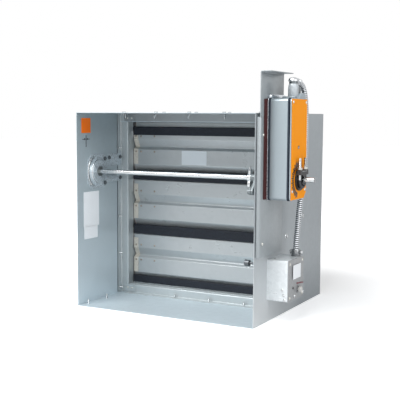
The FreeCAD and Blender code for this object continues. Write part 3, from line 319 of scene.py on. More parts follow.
def newMaterial(name):
    material = bpy.data.materials.new(name)
    material.use_nodes = True
    tree = material.node_tree
    coords = tree.nodes.new("ShaderNodeTexCoord")
    return material, tree, tree.nodes["Principled BSDF"], coords.outputs["Object"]


def placeGroup(tree, group, vector, **values):
    node = tree.nodes.new("ShaderNodeGroup")
    node.node_tree = group
    tree.links.new(vector, node.inputs["Vector"])
    for label, value in values.items():
        node.inputs[label.replace("_", " ")].default_value = value
    return node


def addBump(tree, shader, height, distance, strength=1.0):
    bump = tree.nodes.new("ShaderNodeBump")
    bump.inputs["Distance"].default_value = distance
    bump.inputs["Strength"].default_value = strength
    tree.links.new(height, bump.inputs["Height"])
    tree.links.new(bump.outputs[0], shader.inputs["Normal"])


# foot paints light and shade onto the sheet: darker above, a paler tint low down, as if lit from the floor
def sheetMetal(name, light, dark, metallic=0.75, rough=(0.3, 0.46), spangle=0.35, scale=95.0, cloud=0.5,
               marks=0.35, markTint=(0.62, 0.64, 0.64), bump=0.00006, foot=None):
    material, tree, shader, vector = newMaterial(name)
    skin = placeGroup(tree, zincSkin, vector, Spangle_Scale=scale, Spangle_Amount=spangle, Grain_Amount=0.22,
                      Cloud_Amount=cloud)
    wear = placeGroup(tree, handlingMarks, vector, Patch_Scale=11.0, Patch_Share=marks)
    color = mixColor(tree, skin.outputs["Tone"], dark, light)
    faded = mathNode(tree, "MULTIPLY", wear.outputs["Mask"], 0.35)
    color = mixColor(tree, faded, color, markTint)
    if foot:                                   # painted light: the sheet turns to a paler tint towards its foot and front
        axes = tree.nodes.new("ShaderNodeSeparateXYZ")
        tree.links.new(vector, axes.inputs[0])
        low = rampNode(tree, axes.outputs["Z"], 1.0, 0.0, 0.0, foot["top"])
        near = rampNode(tree, axes.outputs["Y"], 1.0, 0.0, foot["front"], foot["rear"])
        color = mixColor(tree, mathNode(tree, "MULTIPLY", low, near), color, foot["paintedLightTint"])
    tree.links.new(color, shader.inputs["Base Color"])
    shader.inputs["Metallic"].default_value = metallic
    roughness = rampNode(tree, skin.outputs["Tone"], rough[1], rough[0], 0.2, 0.8)
    roughness = mathNode(tree, "ADD", roughness, mathNode(tree, "MULTIPLY", wear.outputs["Mask"], 0.09))
    tree.links.new(roughness, shader.inputs["Roughness"])
    addBump(tree, shader, skin.outputs["Height"], bump)
    return material


def speckledRough(tree, shader, wear, rough):
    roughness = rampNode(tree, wear.outputs["Speck"], rough[0], rough[1], 0.3, 0.7)
    tree.links.new(roughness, shader.inputs["Roughness"])


def brightMetal(name, color, shade, rough=(0.14, 0.3), metallic=1.0, bump=0.00003, scale=420.0):
    material, tree, shader, vector = newMaterial(name)
    wear = placeGroup(tree, handlingMarks, vector, Patch_Scale=60.0, Patch_Share=0.55, Speck_Scale=scale)
    tree.links.new(mixColor(tree, wear.outputs["Mask"], color, shade), shader.inputs["Base Color"])
    shader.inputs["Metallic"].default_value = metallic
    speckledRough(tree, shader, wear, rough)
    addBump(tree, shader, wear.outputs["Speck"], bump)
    return material


def coated(name, color, shade, rough=(0.4, 0.6), patch=16.0, share=0.4, speck=300.0, bump=0.00004,
           strength=0.5, coat=0.0, metallic=0.0, specular=0.5):
    material, tree, shader, vector = newMaterial(name)
    wear = placeGroup(tree, handlingMarks, vector, Patch_Scale=patch, Patch_Share=share, Speck_Scale=speck)
    mask = mathNode(tree, "MULTIPLY", wear.outputs["Mask"], strength)
    speckTint = mixColor(tree, rampNode(tree, wear.outputs["Speck"], 0.0, 0.35, 0.35, 0.7), color, shade)
    tree.links.new(mixColor(tree, mask, speckTint, shade), shader.inputs["Base Color"])
    speckledRough(tree, shader, wear, rough)
    shader.inputs["Metallic"].default_value = metallic
    shader.inputs["Coat Weight"].default_value = coat
    shader.inputs["Specular IOR Level"].default_value = specular
    addBump(tree, shader, wear.outputs["Speck"], bump)
    return material


# finishes: a light and a dark tone each, by the slot of the part's record

wideSheet = {"metallic": 0.28, "rough": (0.34, 0.46), "spangle": 0.22, "cloud": 0.35}
rolledSheet = {"metallic": 0.3, "rough": (0.3, 0.42), "scale": 120.0, "spangle": 0.22, "cloud": 0.35}
finishes = {
    "sleeve_steel": sheetMetal("sleeveZinc", (0.58, 0.67, 0.72), (0.50, 0.58, 0.625), **wideSheet),
    "frame_steel": sheetMetal("frameZinc", (0.50, 0.55, 0.57), (0.43, 0.475, 0.49), **rolledSheet),
    "blade_steel": sheetMetal("bladeZinc", (0.46, 0.495, 0.51), (0.39, 0.42, 0.435), metallic=0.35,
                              rough=(0.24, 0.36), scale=80.0, spangle=0.22, cloud=0.4),
    "spring_steel": brightMetal("springStrip", (0.20, 0.20, 0.20), (0.13, 0.13, 0.13), rough=(0.3, 0.45)),
    "plated_steel": brightMetal("zincPlate", (0.64, 0.64, 0.60), (0.46, 0.45, 0.40), rough=(0.2, 0.4)),
    "strap_steel": coated("strapTan", (0.64, 0.62, 0.565), (0.40, 0.35, 0.28), rough=(0.4, 0.62), patch=60.0,
                          share=0.5, metallic=0.25),
    "shaft_steel": brightMetal("shaftZinc", (0.60, 0.62, 0.63), (0.47, 0.49, 0.50), rough=(0.16, 0.3)),
    "bush_bronze": brightMetal("bushBronze", (0.26, 0.28, 0.28), (0.15, 0.16, 0.165), rough=(0.3, 0.5)),
    "black_steel": coated("blackOxide", (0.035, 0.035, 0.04), (0.12, 0.12, 0.12), rough=(0.3, 0.5),
                          metallic=0.6),
    "seal_rubber": coated("sealRubber", (0.012, 0.015, 0.022), (0.040, 0.050, 0.066), rough=(0.5, 0.7),
                          patch=22.0, share=0.45, bump=0.0001, specular=0.25),
    "gasket_rubber": coated("gasketRubber", (0.020, 0.030, 0.044), (0.040, 0.052, 0.068), rough=(0.4, 0.6),
                            patch=30.0, specular=0.25),
    "actuator_metal": coated("caseAluminium", (0.33, 0.385, 0.415), (0.28, 0.32, 0.345), rough=(0.3, 0.42),
                             patch=18.0, speck=520.0, bump=0.00002, metallic=0.4),
    # actuator base: a dark maroon that stands for the orange face reflected in the shaded gap behind the case,
    # painted reflection and shade
    "base_metal": coated("baseShadeReflection", (0.060, 0.014, 0.014), (0.028, 0.010, 0.010), rough=(0.4, 0.6),
                         specular=0.2),
    "face_label": coated("faceOrange", (1.0, 0.345, 0.006), (0.95, 0.29, 0.006), rough=(0.3, 0.42),
                         patch=9.0, share=0.35, speck=700.0, bump=0.00001, strength=0.35, specular=0.035),
    "motor_metal": brightMetal("motorShell", (0.50, 0.51, 0.52), (0.36, 0.36, 0.37), rough=(0.3, 0.5)),
    "conduit_cover": brightMetal("conduitZinc", (0.74, 0.76, 0.78), (0.56, 0.58, 0.60), rough=(0.25, 0.4)),
    "connector_zinc": brightMetal("castZinc", (0.56, 0.575, 0.59), (0.38, 0.39, 0.40), rough=(0.16, 0.32)),
    # sensor box: a very pale zinc, painted light on the side facing the lamps; the cover takes a shaded copy
    "box_steel": sheetMetal("boxZincPaintedLight", (0.88, 0.92, 0.94), (0.68, 0.72, 0.74), metallic=0.25, spangle=0.4,
                            scale=120.0, cloud=0.6, marks=0.4, rough=(0.26, 0.44)),
    "button_plastic": coated("buttonGrey", (0.62, 0.62, 0.60), (0.45, 0.45, 0.43), rough=(0.25, 0.4),
                             coat=0.3),
    "switch_plastic": coated("switchBlack", (0.02, 0.02, 0.022), (0.05, 0.05, 0.05), rough=(0.4, 0.6)),
    "probe_steel": brightMetal("probeSteel", (0.13, 0.14, 0.15), (0.08, 0.085, 0.09), rough=(0.4, 0.55)),
}

# finishes of single pieces

paper = {"speck": 900.0, "bump": 0.00001, "strength": 0.3}
paperWhite = coated("paperWhite", (0.92, 0.95, 0.98), (0.84, 0.88, 0.91), rough=(0.45, 0.6), patch=30.0,
                    specular=0.3, **paper)
paperGrey = coated("paperGrey", (0.75, 0.81, 0.85), (0.65, 0.71, 0.75), rough=(0.45, 0.6), patch=30.0,
                   specular=0.3, **paper)
paperOrange = coated("paperOrange", (1.0, 0.20, 0.015), (0.9, 0.16, 0.012), rough=(0.35, 0.5), patch=40.0,
                     specular=0.2, **paper)
printBlack = coated("printBlack", (0.02, 0.02, 0.02), (0.05, 0.04, 0.035), rough=(0.35, 0.5), patch=80.0)
leadRed = coated("leadRed", (0.18, 0.015, 0.03), (0.12, 0.015, 0.02), rough=(0.3, 0.45), coat=0.2)
elbowGrey = coated("elbowGrey", (0.50, 0.54, 0.57), (0.38, 0.42, 0.44), rough=(0.4, 0.55), patch=60.0,
                   specular=0.3, metallic=0.2)
bracketZinc = coated("bracketZinc", (0.54, 0.61, 0.66), (0.42, 0.48, 0.52), rough=(0.22, 0.34), patch=40.0,
                     metallic=0.4)
darkBolt = brightMetal("darkBolt", (0.16, 0.18, 0.19), (0.08, 0.09, 0.10), rough=(0.25, 0.45))
rivetBrown = brightMetal("rivetBrown", (0.34, 0.30, 0.26), (0.20, 0.17, 0.14), rough=(0.35, 0.5))
rimAluminium = brightMetal("rimAluminium", (0.72, 0.76, 0.80), (0.56, 0.60, 0.63), rough=(0.2, 0.34))
squeezeZinc = brightMetal("squeezeZinc", (0.25, 0.26, 0.27), (0.15, 0.155, 0.16), rough=(0.25, 0.45))
# box cover: a much darker copy of the box's zinc, painted shade on the side facing away from the lamps
coverZincPaintedShade = sheetMetal("coverZincPaintedShade", (0.38, 0.39, 0.40), (0.30, 0.31, 0.32), metallic=0.4, spangle=0.3,
                       scale=150.0, marks=0.5)
linkZinc = sheetMetal("linkZinc", (0.21, 0.24, 0.25), (0.16, 0.18, 0.19), metallic=0.35, scale=160.0)
plateZinc = sheetMetal("plateZinc", (0.35, 0.385, 0.405), (0.30, 0.33, 0.345), **rolledSheet)
# head: a darker copy of the frame zinc, painted shade under the sleeve's top
headZincPaintedShade = sheetMetal("headZincPaintedShade", (0.33, 0.36, 0.38), (0.27, 0.295, 0.31), metallic=0.3, rough=(0.34, 0.46),
                      scale=120.0, spangle=0.22, cloud=0.35)
# right wall: a darker copy of the sleeve zinc (painted shade) with a paler patch low at the front (painted floor
# reflection)
wallPaintedFloorLight = {"top": 0.24, "front": -0.12, "rear": 0.08, "paintedLightTint": (0.62, 0.65, 0.665)}
wallZincPaintedShade = sheetMetal("wallZincPaintedShade", (0.375, 0.41, 0.435), (0.33, 0.36, 0.38), foot=wallPaintedFloorLight, **wideSheet)
# left wall: a darker copy of the sleeve zinc (painted shade at the top), paling towards its foot (painted light)
sidePaintedLight = {"top": 0.50, "front": 0.3, "rear": 0.4, "paintedLightTint": (0.66, 0.755, 0.81)}
sideZincPaintedShade = sheetMetal("sideZincPaintedShade", (0.40, 0.475, 0.51), (0.345, 0.41, 0.44), foot=sidePaintedLight, **wideSheet)
ownFinish = {
    "sleeve_right_panel": wallZincPaintedShade, "sleeve_left_panel": sideZincPaintedShade, "frame_head": headZincPaintedShade,
    "shaft_bracket": bracketZinc, "box_cover": coverZincPaintedShade,
    "drive_rod": linkZinc, "drive_bracket": linkZinc, "drive_crank": linkZinc,
}
print("finishes made:", len(bpy.data.materials))


# CAD nodes: finishes and softened folds

def weldGroup():
    # joins the loose triangles so that a bevel can follow the edges
    group = bpy.data.node_groups.new("weldLoose", "GeometryNodeTree")
    group.interface.new_socket("Geometry", in_out="INPUT", socket_type="NodeSocketGeometry")
    group.interface.new_socket("Geometry", in_out="OUTPUT", socket_type="NodeSocketGeometry")
    source = group.nodes.new("NodeGroupInput")
    drop = group.nodes.new("GeometryNodeRemoveAttribute")
    drop.inputs["Name"].default_value = "custom_normal"
    merge = group.nodes.new("GeometryNodeMergeByDistance")
    merge.inputs["Distance"].default_value = 0.000004
    smooth = group.nodes.new("GeometryNodeSetShadeSmooth")
    target = group.nodes.new("NodeGroupOutput")
    group.links.new(source.outputs[0], drop.inputs[0])
    group.links.new(drop.outputs[0], merge.inputs[0])
    group.links.new(merge.outputs[0], smooth.inputs[0])
    group.links.new(smooth.outputs[0], target.inputs[0])
    return group


weldLoose = weldGroup()
folds = {
    "blade_top": 0.0014, "blade_middle": 0.0014, "blade_bottom": 0.0014,
    "end_straps_top": 0.0006, "end_straps_middle": 0.0006, "end_straps_bottom": 0.0006,
    "saddles_top": 0.0009, "saddles_middle": 0.0009, "saddles_bottom": 0.0009,
    "shaft_bushes": 0.0005, "clamp_jaws": 0.0007,
    "sill_stop": 0.0006, "head_stop": 0.0006, "sill_seal": 0.0012,
}


def soften(node, width):
    weld = nodes[node].modifiers.new("weld", "NODES")
    weld.node_group = weldLoose
    bevel = nodes[node].modifiers.new("fold", "BEVEL")
    bevel.width = width
    bevel.segments = 3
    bevel.limit_method = "ANGLE"
    bevel.angle_limit = math.radians(12)
    bevel.harden_normals = True


def dressNodes():
    for row in frame["record"]["subparts"]:
        node = row["node"]
        data = nodes[node].data
        data.materials.clear()
        data.materials.append(ownFinish.get(node, finishes[row["material_slot"]]))
        if node in folds:
            soften(node, folds[node])


dressNodes()
print("nodes dressed")


# screws, bolts and rivets

sleeveScrew = {"washer": 0.0068, "hex": 0.0052, "flange": 0.0010, "chamfer": 0.0006, "head": 0.004,
               "thread": 0.0024, "pitch": 0.0013, "point": 0.004}


def hexWasherHead(bm, at, height, size):
    # a flange under a hexagon with a chamfered top
    chamfer = size["chamfer"]
    addCone(bm, at, size["washer"], size["washer"] * 0.86, size["flange"], 24)
    addCone(bm, at, size["hex"], size["hex"], height - size["flange"] - chamfer, 6, size["flange"])
    addCone(bm, at, size["hex"], size["hex"] * 0.8, chamfer, 6, height - chamfer)


def screwPoint(bm, at, length, size):
    # runs down from the surface: threads, then a drill point
    down = at @ Matrix.Rotation(math.pi, 4, "X")
    plain = max(length - size["point"], size["pitch"])
    turns = max(int(plain / size["pitch"]), 1)
    core = size["thread"] * 0.74
    addCone(bm, down, core, core, plain, 12)
    for turn in range(turns):
        addCone(bm, down, size["thread"], core, size["pitch"] * 0.55, 14, turn * size["pitch"])
    addCone(bm, down, core, 0.0003, size["point"], 12, plain)


def buildSleeveScrews():
    # one on each of the node's pins, heads outside
    bm = bmesh.new()
    for low, high in solidsOf("frame_screws"):
        span = high - low
        axis = max(range(3), key=lambda i: span[i])
        outward = Vector((0, 0, 0))
        outward[axis] = 1.0 if (low + high)[axis] > 0 or axis == 2 else -1.0
        middle = (low + high) / 2
        headTop = high[axis] if outward[axis] > 0 else low[axis]
        surface = middle.copy()
        surface[axis] = headTop - outward[axis] * sleeveScrew["head"]
        at = place(surface, outward)
        hexWasherHead(bm, at, sleeveScrew["head"], sleeveScrew)
        screwPoint(bm, at, span[axis] - sleeveScrew["head"], sleeveScrew)
    piece = finishPiece("sleeveScrews", bm, finishes["shaft_steel"], "frame")
    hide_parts("frame_screws")


panHead = {"height": 0.0018, "slot": 0.0009, "rim": 0.45, "shank": 0.0019}


def slottedHead(bm, at, radius, height):
    # a disc with two crowned halves and the driver slot between them
    half = bmesh.new()
    bmesh.ops.create_cone(half, cap_ends=True, segments=24, radius1=radius, radius2=radius * 0.68,
                          depth=height * (1 - panHead["rim"]),
                          matrix=Matrix.Translation((0, 0, height * (1 + panHead["rim"]) / 2)))
    cut = bmesh.ops.bisect_plane(half, geom=half.verts[:] + half.edges[:] + half.faces[:],
                                 plane_co=(0, panHead["slot"] / 2, 0), plane_no=(0, -1, 0), clear_outer=True)
    bmesh.ops.holes_fill(half, edges=edgesIn(cut["geom_cut"]))
    for turn in (0, math.pi):
        other = half.copy()
        bmesh.ops.transform(other, matrix=at @ Matrix.Rotation(turn, 4, "Z"), verts=other.verts)
        pour(bm, other)
    half.free()
    addCone(bm, at, radius, radius, height * panHead["rim"], 24)


def buildPanelScrews():
    bm = bmesh.new()
    for index, (low, high) in enumerate(solidsOf("panel_screws")):
        radius = (high.z - low.z) / 2
        surface = Vector((high.x - panHead["height"], (low.y + high.y) / 2, (low.z + high.z) / 2))
        at = place(surface, (1, 0, 0)) @ Matrix.Rotation(index * 0.9, 4, "Z")
        slottedHead(bm, at, radius, panHead["height"])
        addCone(bm, place(surface, (-1, 0, 0)), panHead["shank"], panHead["shank"], surface.x - low.x, 12)
    piece = finishPiece("panelScrews", bm, finishes["plated_steel"], "frame")
    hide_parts("panel_screws")


def bentRod(bm, at, radius, sides, about, axis, angle, steps):
    # a capped round bar, swept from a circle about an axis
    ring = bmesh.ops.create_circle(bm, segments=sides, radius=radius, cap_ends=True, matrix=at)["verts"]
    edges = list({e for v in ring for e in v.link_edges})
    bend = bmesh.ops.spin(bm, geom=edges, cent=about, axis=axis, angle=angle, steps=steps)
    bmesh.ops.contextual_create(bm, geom=edgesIn(bend["geom_last"]))


shaft = jointPlace("jackshaft_turn")
arcBar = {"radius": 0.0032, "flat": 0.5, "sides": 16, "steps": 40,
          "arcs": ((0.0300, 0.0062, 80), (0.0432, 0.0022, 64))}   # radius, lift and half angle of each


def buildDishArcs():
    # two flattened bars on the dish, concentric with the shaft
    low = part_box("shaft_bracket")[0]
    bm = bmesh.new()
    for radius, lift, half in arcBar["arcs"]:
        arc = bmesh.new()
        start = math.radians(90 - half)
        tangent = Vector((0, -math.cos(start), -math.sin(start)))
        at = place((0, -radius * math.sin(start), radius * math.cos(start)), tangent)
        bentRod(arc, at, arcBar["radius"], arcBar["sides"], (0, 0, 0), (1, 0, 0), math.radians(2 * half),
                arcBar["steps"])
        bmesh.ops.scale(arc, vec=(arcBar["flat"], 1, 1), verts=arc.verts)
        bmesh.ops.translate(arc, vec=(low.x + lift, shaft.y, shaft.z), verts=arc.verts)
        pour(bm, arc)
    finishPiece("dishArcs", bm, finishes["shaft_steel"], "frame")


strut = {"low": (-0.2506, -0.1010, 0.3190), "high": (-0.2490, -0.0256, 0.3370), "edge": 0.0005}


def buildStrut():
    bm = bmesh.new()
    softBlock(bm, strut["low"], strut["high"], strut["edge"])
    finishPiece("lowerStrut", bm, bracketZinc, "frame")


jambLine = {"bead": -0.0240, "radius": 0.0010, "off": 0.0014, "spans": ((0.022, 0.300), (0.402, 0.500)),
            "seal": 0.0011, "sealSpan": (0.003, 0.505), "sealEdge": 0.0003}


def buildJambLines():
    # a rolled bead along each jamb's brim, and a thin dark strip at its edge that paints the shadow line there
    beads = bmesh.new()
    seals = bmesh.new()
    for side, node in ((-1, "frame_left_jamb"), (1, "frame_right_jamb")):
        low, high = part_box(node)
        wall = low.x if side < 0 else high.x
        for start, end in jambLine["spans"]:
            at = Matrix.Translation((wall - side * jambLine["off"], jambLine["bead"], start))
            addCone(beads, at, jambLine["radius"], jambLine["radius"], end - start, 10)
        inner = wall - side * jambLine["seal"]
        bottom, top = jambLine["sealSpan"]
        softBlock(seals, (min(wall, inner), low.y - jambLine["seal"], bottom), (max(wall, inner), low.y, top),
                  jambLine["sealEdge"])
    finishPiece("jambBeads", beads, finishes["shaft_steel"], "frame")
    finishPiece("sealantLines", seals, finishes["gasket_rubber"], "frame")


bracketBolt = {"height": 0.004, "washer": 0.0056, "washerGauge": 0.0009, "chamfer": 0.0007, "shank": 0.0022,
               "lowerBolt": 0.3280}


def buildBracketBolts():
    # the bracket's own bolts, and one more that holds the lower strut
    bolts = solidsOf("bracket_bolts")
    low, high = max(bolts, key=lambda box: box[1].y)
    shift = Vector((0, 0, bracketBolt["lowerBolt"] - (low.z + high.z) / 2))
    nearEdge = min(box[0].y for box in bolts) + 0.01
    near, shadedFar = bmesh.new(), bmesh.new()
    for low, high in bolts + [(low + shift, high + shift)]:
        bm = near if low.y < nearEdge else shadedFar
        radius = (high.y - low.y) / 2
        height = bracketBolt["height"]
        at = place((high.x - height, (low.y + high.y) / 2, (low.z + high.z) / 2), (1, 0, 0))
        addCone(bm, at, bracketBolt["washer"], bracketBolt["washer"], bracketBolt["washerGauge"], 24)
        body = height - bracketBolt["washerGauge"] - bracketBolt["chamfer"]
        addCone(bm, at, radius, radius, body, 6, bracketBolt["washerGauge"])
        addCone(bm, at, radius, radius * 0.82, bracketBolt["chamfer"], 6, height - bracketBolt["chamfer"])
        addCone(bm, place(at.translation, (-1, 0, 0)), bracketBolt["shank"], bracketBolt["shank"],
                at.translation.x - low.x, 12)
    # the rear bolts take a dark copy of the bolt metal: painted shade
    for name, bm, finish in (("nearBolts", near, finishes["shaft_steel"]), ("farBoltsPaintedShade", shadedFar, darkBolt)):
        piece = finishPiece(name, bm, finish, "frame")
        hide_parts("bracket_bolts")


rivet = {"radius": 0.0029, "crown": 0.46, "pin": 0.0009, "insets": (0.007, 0.023, 0.067), "rise": 0.0215,
         "sheet": 0.0016, "strap": 0.001, "strapWidth": 0.014, "tabs": (0.3, 0.7), "tabReach": 0.1}


def addRivet(bm, point, outward, scale=1.0):
    at = place(point, outward)
    radius = rivet["radius"] * scale
    bmesh.ops.create_uvsphere(bm, u_segments=16, v_segments=8, radius=radius,
                              matrix=at @ Matrix.Diagonal((1, 1, rivet["crown"], 1)))
    addCone(bm, at, rivet["pin"] * scale, rivet["pin"] * scale * 0.7, radius * rivet["crown"] + 0.0002, 10)


def buildBladeRivets(name):
    # three a side above and below the axle, the outermost on the strap
    level = jointPlace("blade_%s_hinge" % name).z
    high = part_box("end_straps_" + name)[1]
    bm = bmesh.new()
    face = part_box("saddles_" + name)[0].y - rivet["sheet"]
    for side in (-1, 1):
        for inset in rivet["insets"]:
            for sign in (-1, 1):
                x = side * (high.x - inset)
                y = face - (rivet["strap"] if inset < rivet["strapWidth"] else 0.0)
                addRivet(bm, (x, y, level + sign * rivet["rise"]), (0, -1, 0))
    finishPiece(name + "BladeRivets", bm, rivetBrown, "blade_" + name)


def buildTabRivets():
    bm = bmesh.new()
    for node in ("frame_head", "frame_sill"):
        for low, high in solidsOf(node):
            if high.x - low.x < rivet["tabReach"]:
                for share in rivet["tabs"]:
                    x = low.x + (high.x - low.x) * share
                    addRivet(bm, (x, low.y, (low.z + high.z) / 2), (0, -1, 0), 0.9)
    finishPiece("tabRivets", bm, finishes["plated_steel"], "frame")


buildSleeveScrews()
buildPanelScrews()
buildBracketBolts()
buildDishArcs()
buildStrut()
buildJambLines()
for bladeName in ("top", "middle", "bottom"):
    buildBladeRivets(bladeName)
buildTabRivets()
print("fasteners made")


# screw points that come through the sleeve, and the head's lip, whose paler finish paints a highlight on the
# head's lower edge

floorPoints = {"rise": 0.0135, "spots": ((-0.2367, -0.1198), (-0.2402, -0.2005), (-0.0734, -0.0275),
                                         (0.0312, -0.0275), (0.1359, -0.0275))}


def buildFloorPoints():
    bm = bmesh.new()
    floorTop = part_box("sleeve_bottom_panel")[1].z
    for x, y in floorPoints["spots"]:
        at = place((x, y, floorTop), (0, 0, -1))
        screwPoint(bm, at, floorPoints["rise"], sleeveScrew)
    finishPiece("floorScrewPoints", bm, finishes["shaft_steel"], "frame")


pointRows = {"head": (-0.2219, -0.1290, -0.0244, 0.0840), "headLine": -0.0450, "drop": 0.0150,
             "jamb": (0.411, 0.219, 0.114, 0.016), "jambLine": -0.0320, "reach": 0.0115}


def buildPointRows():
    # screws that come down in front of the head and through the left wall into the jamb
    bm = bmesh.new()
    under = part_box("sleeve_top_panel")[0].z
    for x in pointRows["head"]:
        at = place((x, pointRows["headLine"], under), (0, 0, 1))
        screwPoint(bm, at, pointRows["drop"], sleeveScrew)
    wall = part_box("sleeve_left_panel")[1].x
    for z in pointRows["jamb"]:
        at = place((wall, pointRows["jambLine"], z), (-1, 0, 0))
        screwPoint(bm, at, pointRows["reach"], sleeveScrew)
    finishPiece("rowScrewPoints", bm, finishes["shaft_steel"], "frame")


headLipHighlight = {"height": 0.0013, "proud": 0.0009, "edge": 0.0004}


def buildHeadLipHighlight():
    low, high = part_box("frame_head")
    bm = bmesh.new()
    # a real lip, in the paler sleeve zinc so that it paints the highlight along the head's lower front edge
    softBlock(bm, (low.x, low.y - headLipHighlight["proud"], low.z), (high.x, low.y, low.z + headLipHighlight["height"]),
              headLipHighlight["edge"])
    finishPiece("headLipHighlight", bm, finishes["sleeve_steel"], "frame")


buildFloorPoints()
buildPointRows()
buildHeadLipHighlight()
print("screw points made")


# bare stickers

sticker = {"gauge": 0.00025, "corner": 0.0015}
stickers = {
    "orangeSticker": {"at": (-0.2528, -0.1883, 0.4740), "size": (0.0415, 0.0392), "finish": paperOrange},
    "tallSticker": {"at": (-0.2528, -0.1660, 0.2515), "size": (0.0700, 0.0930), "finish": paperWhite},
    "lowSticker": {"at": (-0.2528, -0.1685, 0.1890), "size": (0.0610, 0.0335), "finish": paperWhite},
    "coverSticker": {"at": (0.3120, -0.1010, 0.1232), "size": (0.0500, 0.0350), "finish": paperWhite},
}
bladeSticker = {"x": -0.0335, "z": 0.3862, "size": (0.0770, 0.0385)}


def addSticker(name, at, size, finish, out=(1, 0, 0), body="frame"):
    bm = bmesh.new()
    bmesh.ops.create_grid(bm, x_segments=1, y_segments=1, size=0.5)
    bmesh.ops.transform(bm, matrix=Matrix.Diagonal((size[0], size[1], 1, 1)), verts=bm.verts)
    bevelCorners(bm, sticker["corner"], 4)
    up = bmesh.ops.extrude_face_region(bm, geom=bm.faces[:])["geom"]
    bmesh.ops.translate(bm, vec=(0, 0, sticker["gauge"]), verts=vertsIn(up))
    face = Vector(out)
    across = Vector((0, 0, 1)).cross(face)
    turn = Matrix((across, Vector((0, 0, 1)), face)).transposed().to_4x4()
    bmesh.ops.transform(bm, matrix=Matrix.Translation(at) @ turn, verts=bm.verts)
    return finishPiece(name, bm, finish, body)


boxTrim = {
    "coverGauge": 0.002, "lamp": (-0.1200, 0.0840), "lampRadius": 0.0032,
    "tab": {"centre": (-0.0760, 0.0904), "long": 0.043, "tall": 0.0032, "gauge": 0.0016, "edge": 0.0006,
            "tilt": 0.11},
    "faceScrews": ((-0.0553, 0.0647), (-0.1100, 0.0630)), "faceHead": (0.0040, 0.0022),
    "sideScrews": ((0.2950, 0.0830), (0.2985, 0.0705), (0.3010, 0.0590)), "sideHead": (0.0036, 0.0022),
}


def buildBoxTrim():
    # a lamp, a red lead tab and screws on the sensor box
    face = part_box("sensor_box")[1].x + boxTrim["coverGauge"]
    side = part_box("sensor_box")[0].y
    radius = boxTrim["lampRadius"]
    bm = bmesh.new()
    spinProfile(bm, [(0, 0), (radius, 0), (radius, 0.0006), (radius * 0.6875, 0.0012), (0, 0.0014)],
                place((face, *boxTrim["lamp"]), (1, 0, 0)), 24)
    finishPiece("boxLamp", bm, finishes["switch_plastic"], "frame")
    bm = bmesh.new()
    tab = boxTrim["tab"]
    softBlock(bm, (0, -tab["long"] / 2, -tab["tall"] / 2), (tab["gauge"], tab["long"] / 2, tab["tall"] / 2),
              tab["edge"], Matrix.Translation((face, *tab["centre"])) @ Matrix.Rotation(-tab["tilt"], 4, "X"))
    finishPiece("redTab", bm, leadRed, "frame")
    bm = bmesh.new()
    for index, (y, z) in enumerate(boxTrim["faceScrews"]):
        turn = Matrix.Rotation(index + 0.5, 4, "Z")
        slottedHead(bm, place((face, y, z), (1, 0, 0)) @ turn, *boxTrim["faceHead"])
    for index, (x, z) in enumerate(boxTrim["sideScrews"]):
        turn = Matrix.Rotation(index * 0.8, 4, "Z")
        slottedHead(bm, place((x, side, z), (0, -1, 0)) @ turn, *boxTrim["sideHead"])
    finishPiece("boxScrews", bm, finishes["shaft_steel"], "frame")


buildBoxTrim()
for stickerName, look in stickers.items():
    addSticker(stickerName, look["at"], look["size"], look["finish"])
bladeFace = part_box("saddles_top")[0].y - rivet["sheet"]
addSticker("bladeSticker", (bladeSticker["x"], bladeFace, bladeSticker["z"]), bladeSticker["size"], paperGrey,
           (0, -1, 0), "blade_top")
print("stickers laid")


# two eyelets under the orange sticker, on a dark cross

eyelet = {"spots": ((-0.1951, 0.4385), (-0.1816, 0.4385)), "radius": 0.0027, "bore": 0.0015, "rise": 0.0006}
cross = {"gauge": 0.0004, "edge": 0.0001, "half": 0.0013, "down": 0.021, "up": 0.010, "arm": 0.017,
         "armDown": 0.0012, "armUp": 0.0002}


def buildEyelets():
    rim = bmesh.new()
    dark = bmesh.new()
    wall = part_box("sleeve_left_panel")[1].x
    radius, bore, rise = eyelet["radius"], eyelet["bore"], eyelet["rise"]
    for y, z in eyelet["spots"]:
        at = place((wall, y, z), (1, 0, 0))
        spinProfile(rim, [(bore, 0), (radius, 0), (radius * 0.94, rise * 0.6), (radius * 0.82, rise),
                          (bore * 1.15, rise * 0.7), (bore, rise * 0.3), (bore, 0)], at, 20)
        addCone(dark, at, bore, bore, 0.0002, 16)
    middle = sum((y for y, z in eyelet["spots"]), 0.0) / len(eyelet["spots"])
    level = eyelet["spots"][0][1]
    face = wall + cross["gauge"]
    softBlock(dark, (wall, middle - cross["half"], level - cross["down"]),
              (face, middle + cross["half"], level + cross["up"]), cross["edge"])
    softBlock(dark, (wall, middle - cross["arm"], level - cross["armDown"]),
              (face, middle + cross["arm"], level + cross["armUp"]), cross["edge"])
    finishPiece("eyelets", rim, darkBolt, "frame")
    finishPiece("eyeletBores", dark, finishes["switch_plastic"], "frame")


buildEyelets()


# mounting plate

plate = {"frontLap": 0.008, "lift": 0.011, "gauge": 0.002, "bend": 0.003, "nose": 0.0065, "noseSteps": 8,
         "flangeTop": 0.499, "rim": 0.0004}


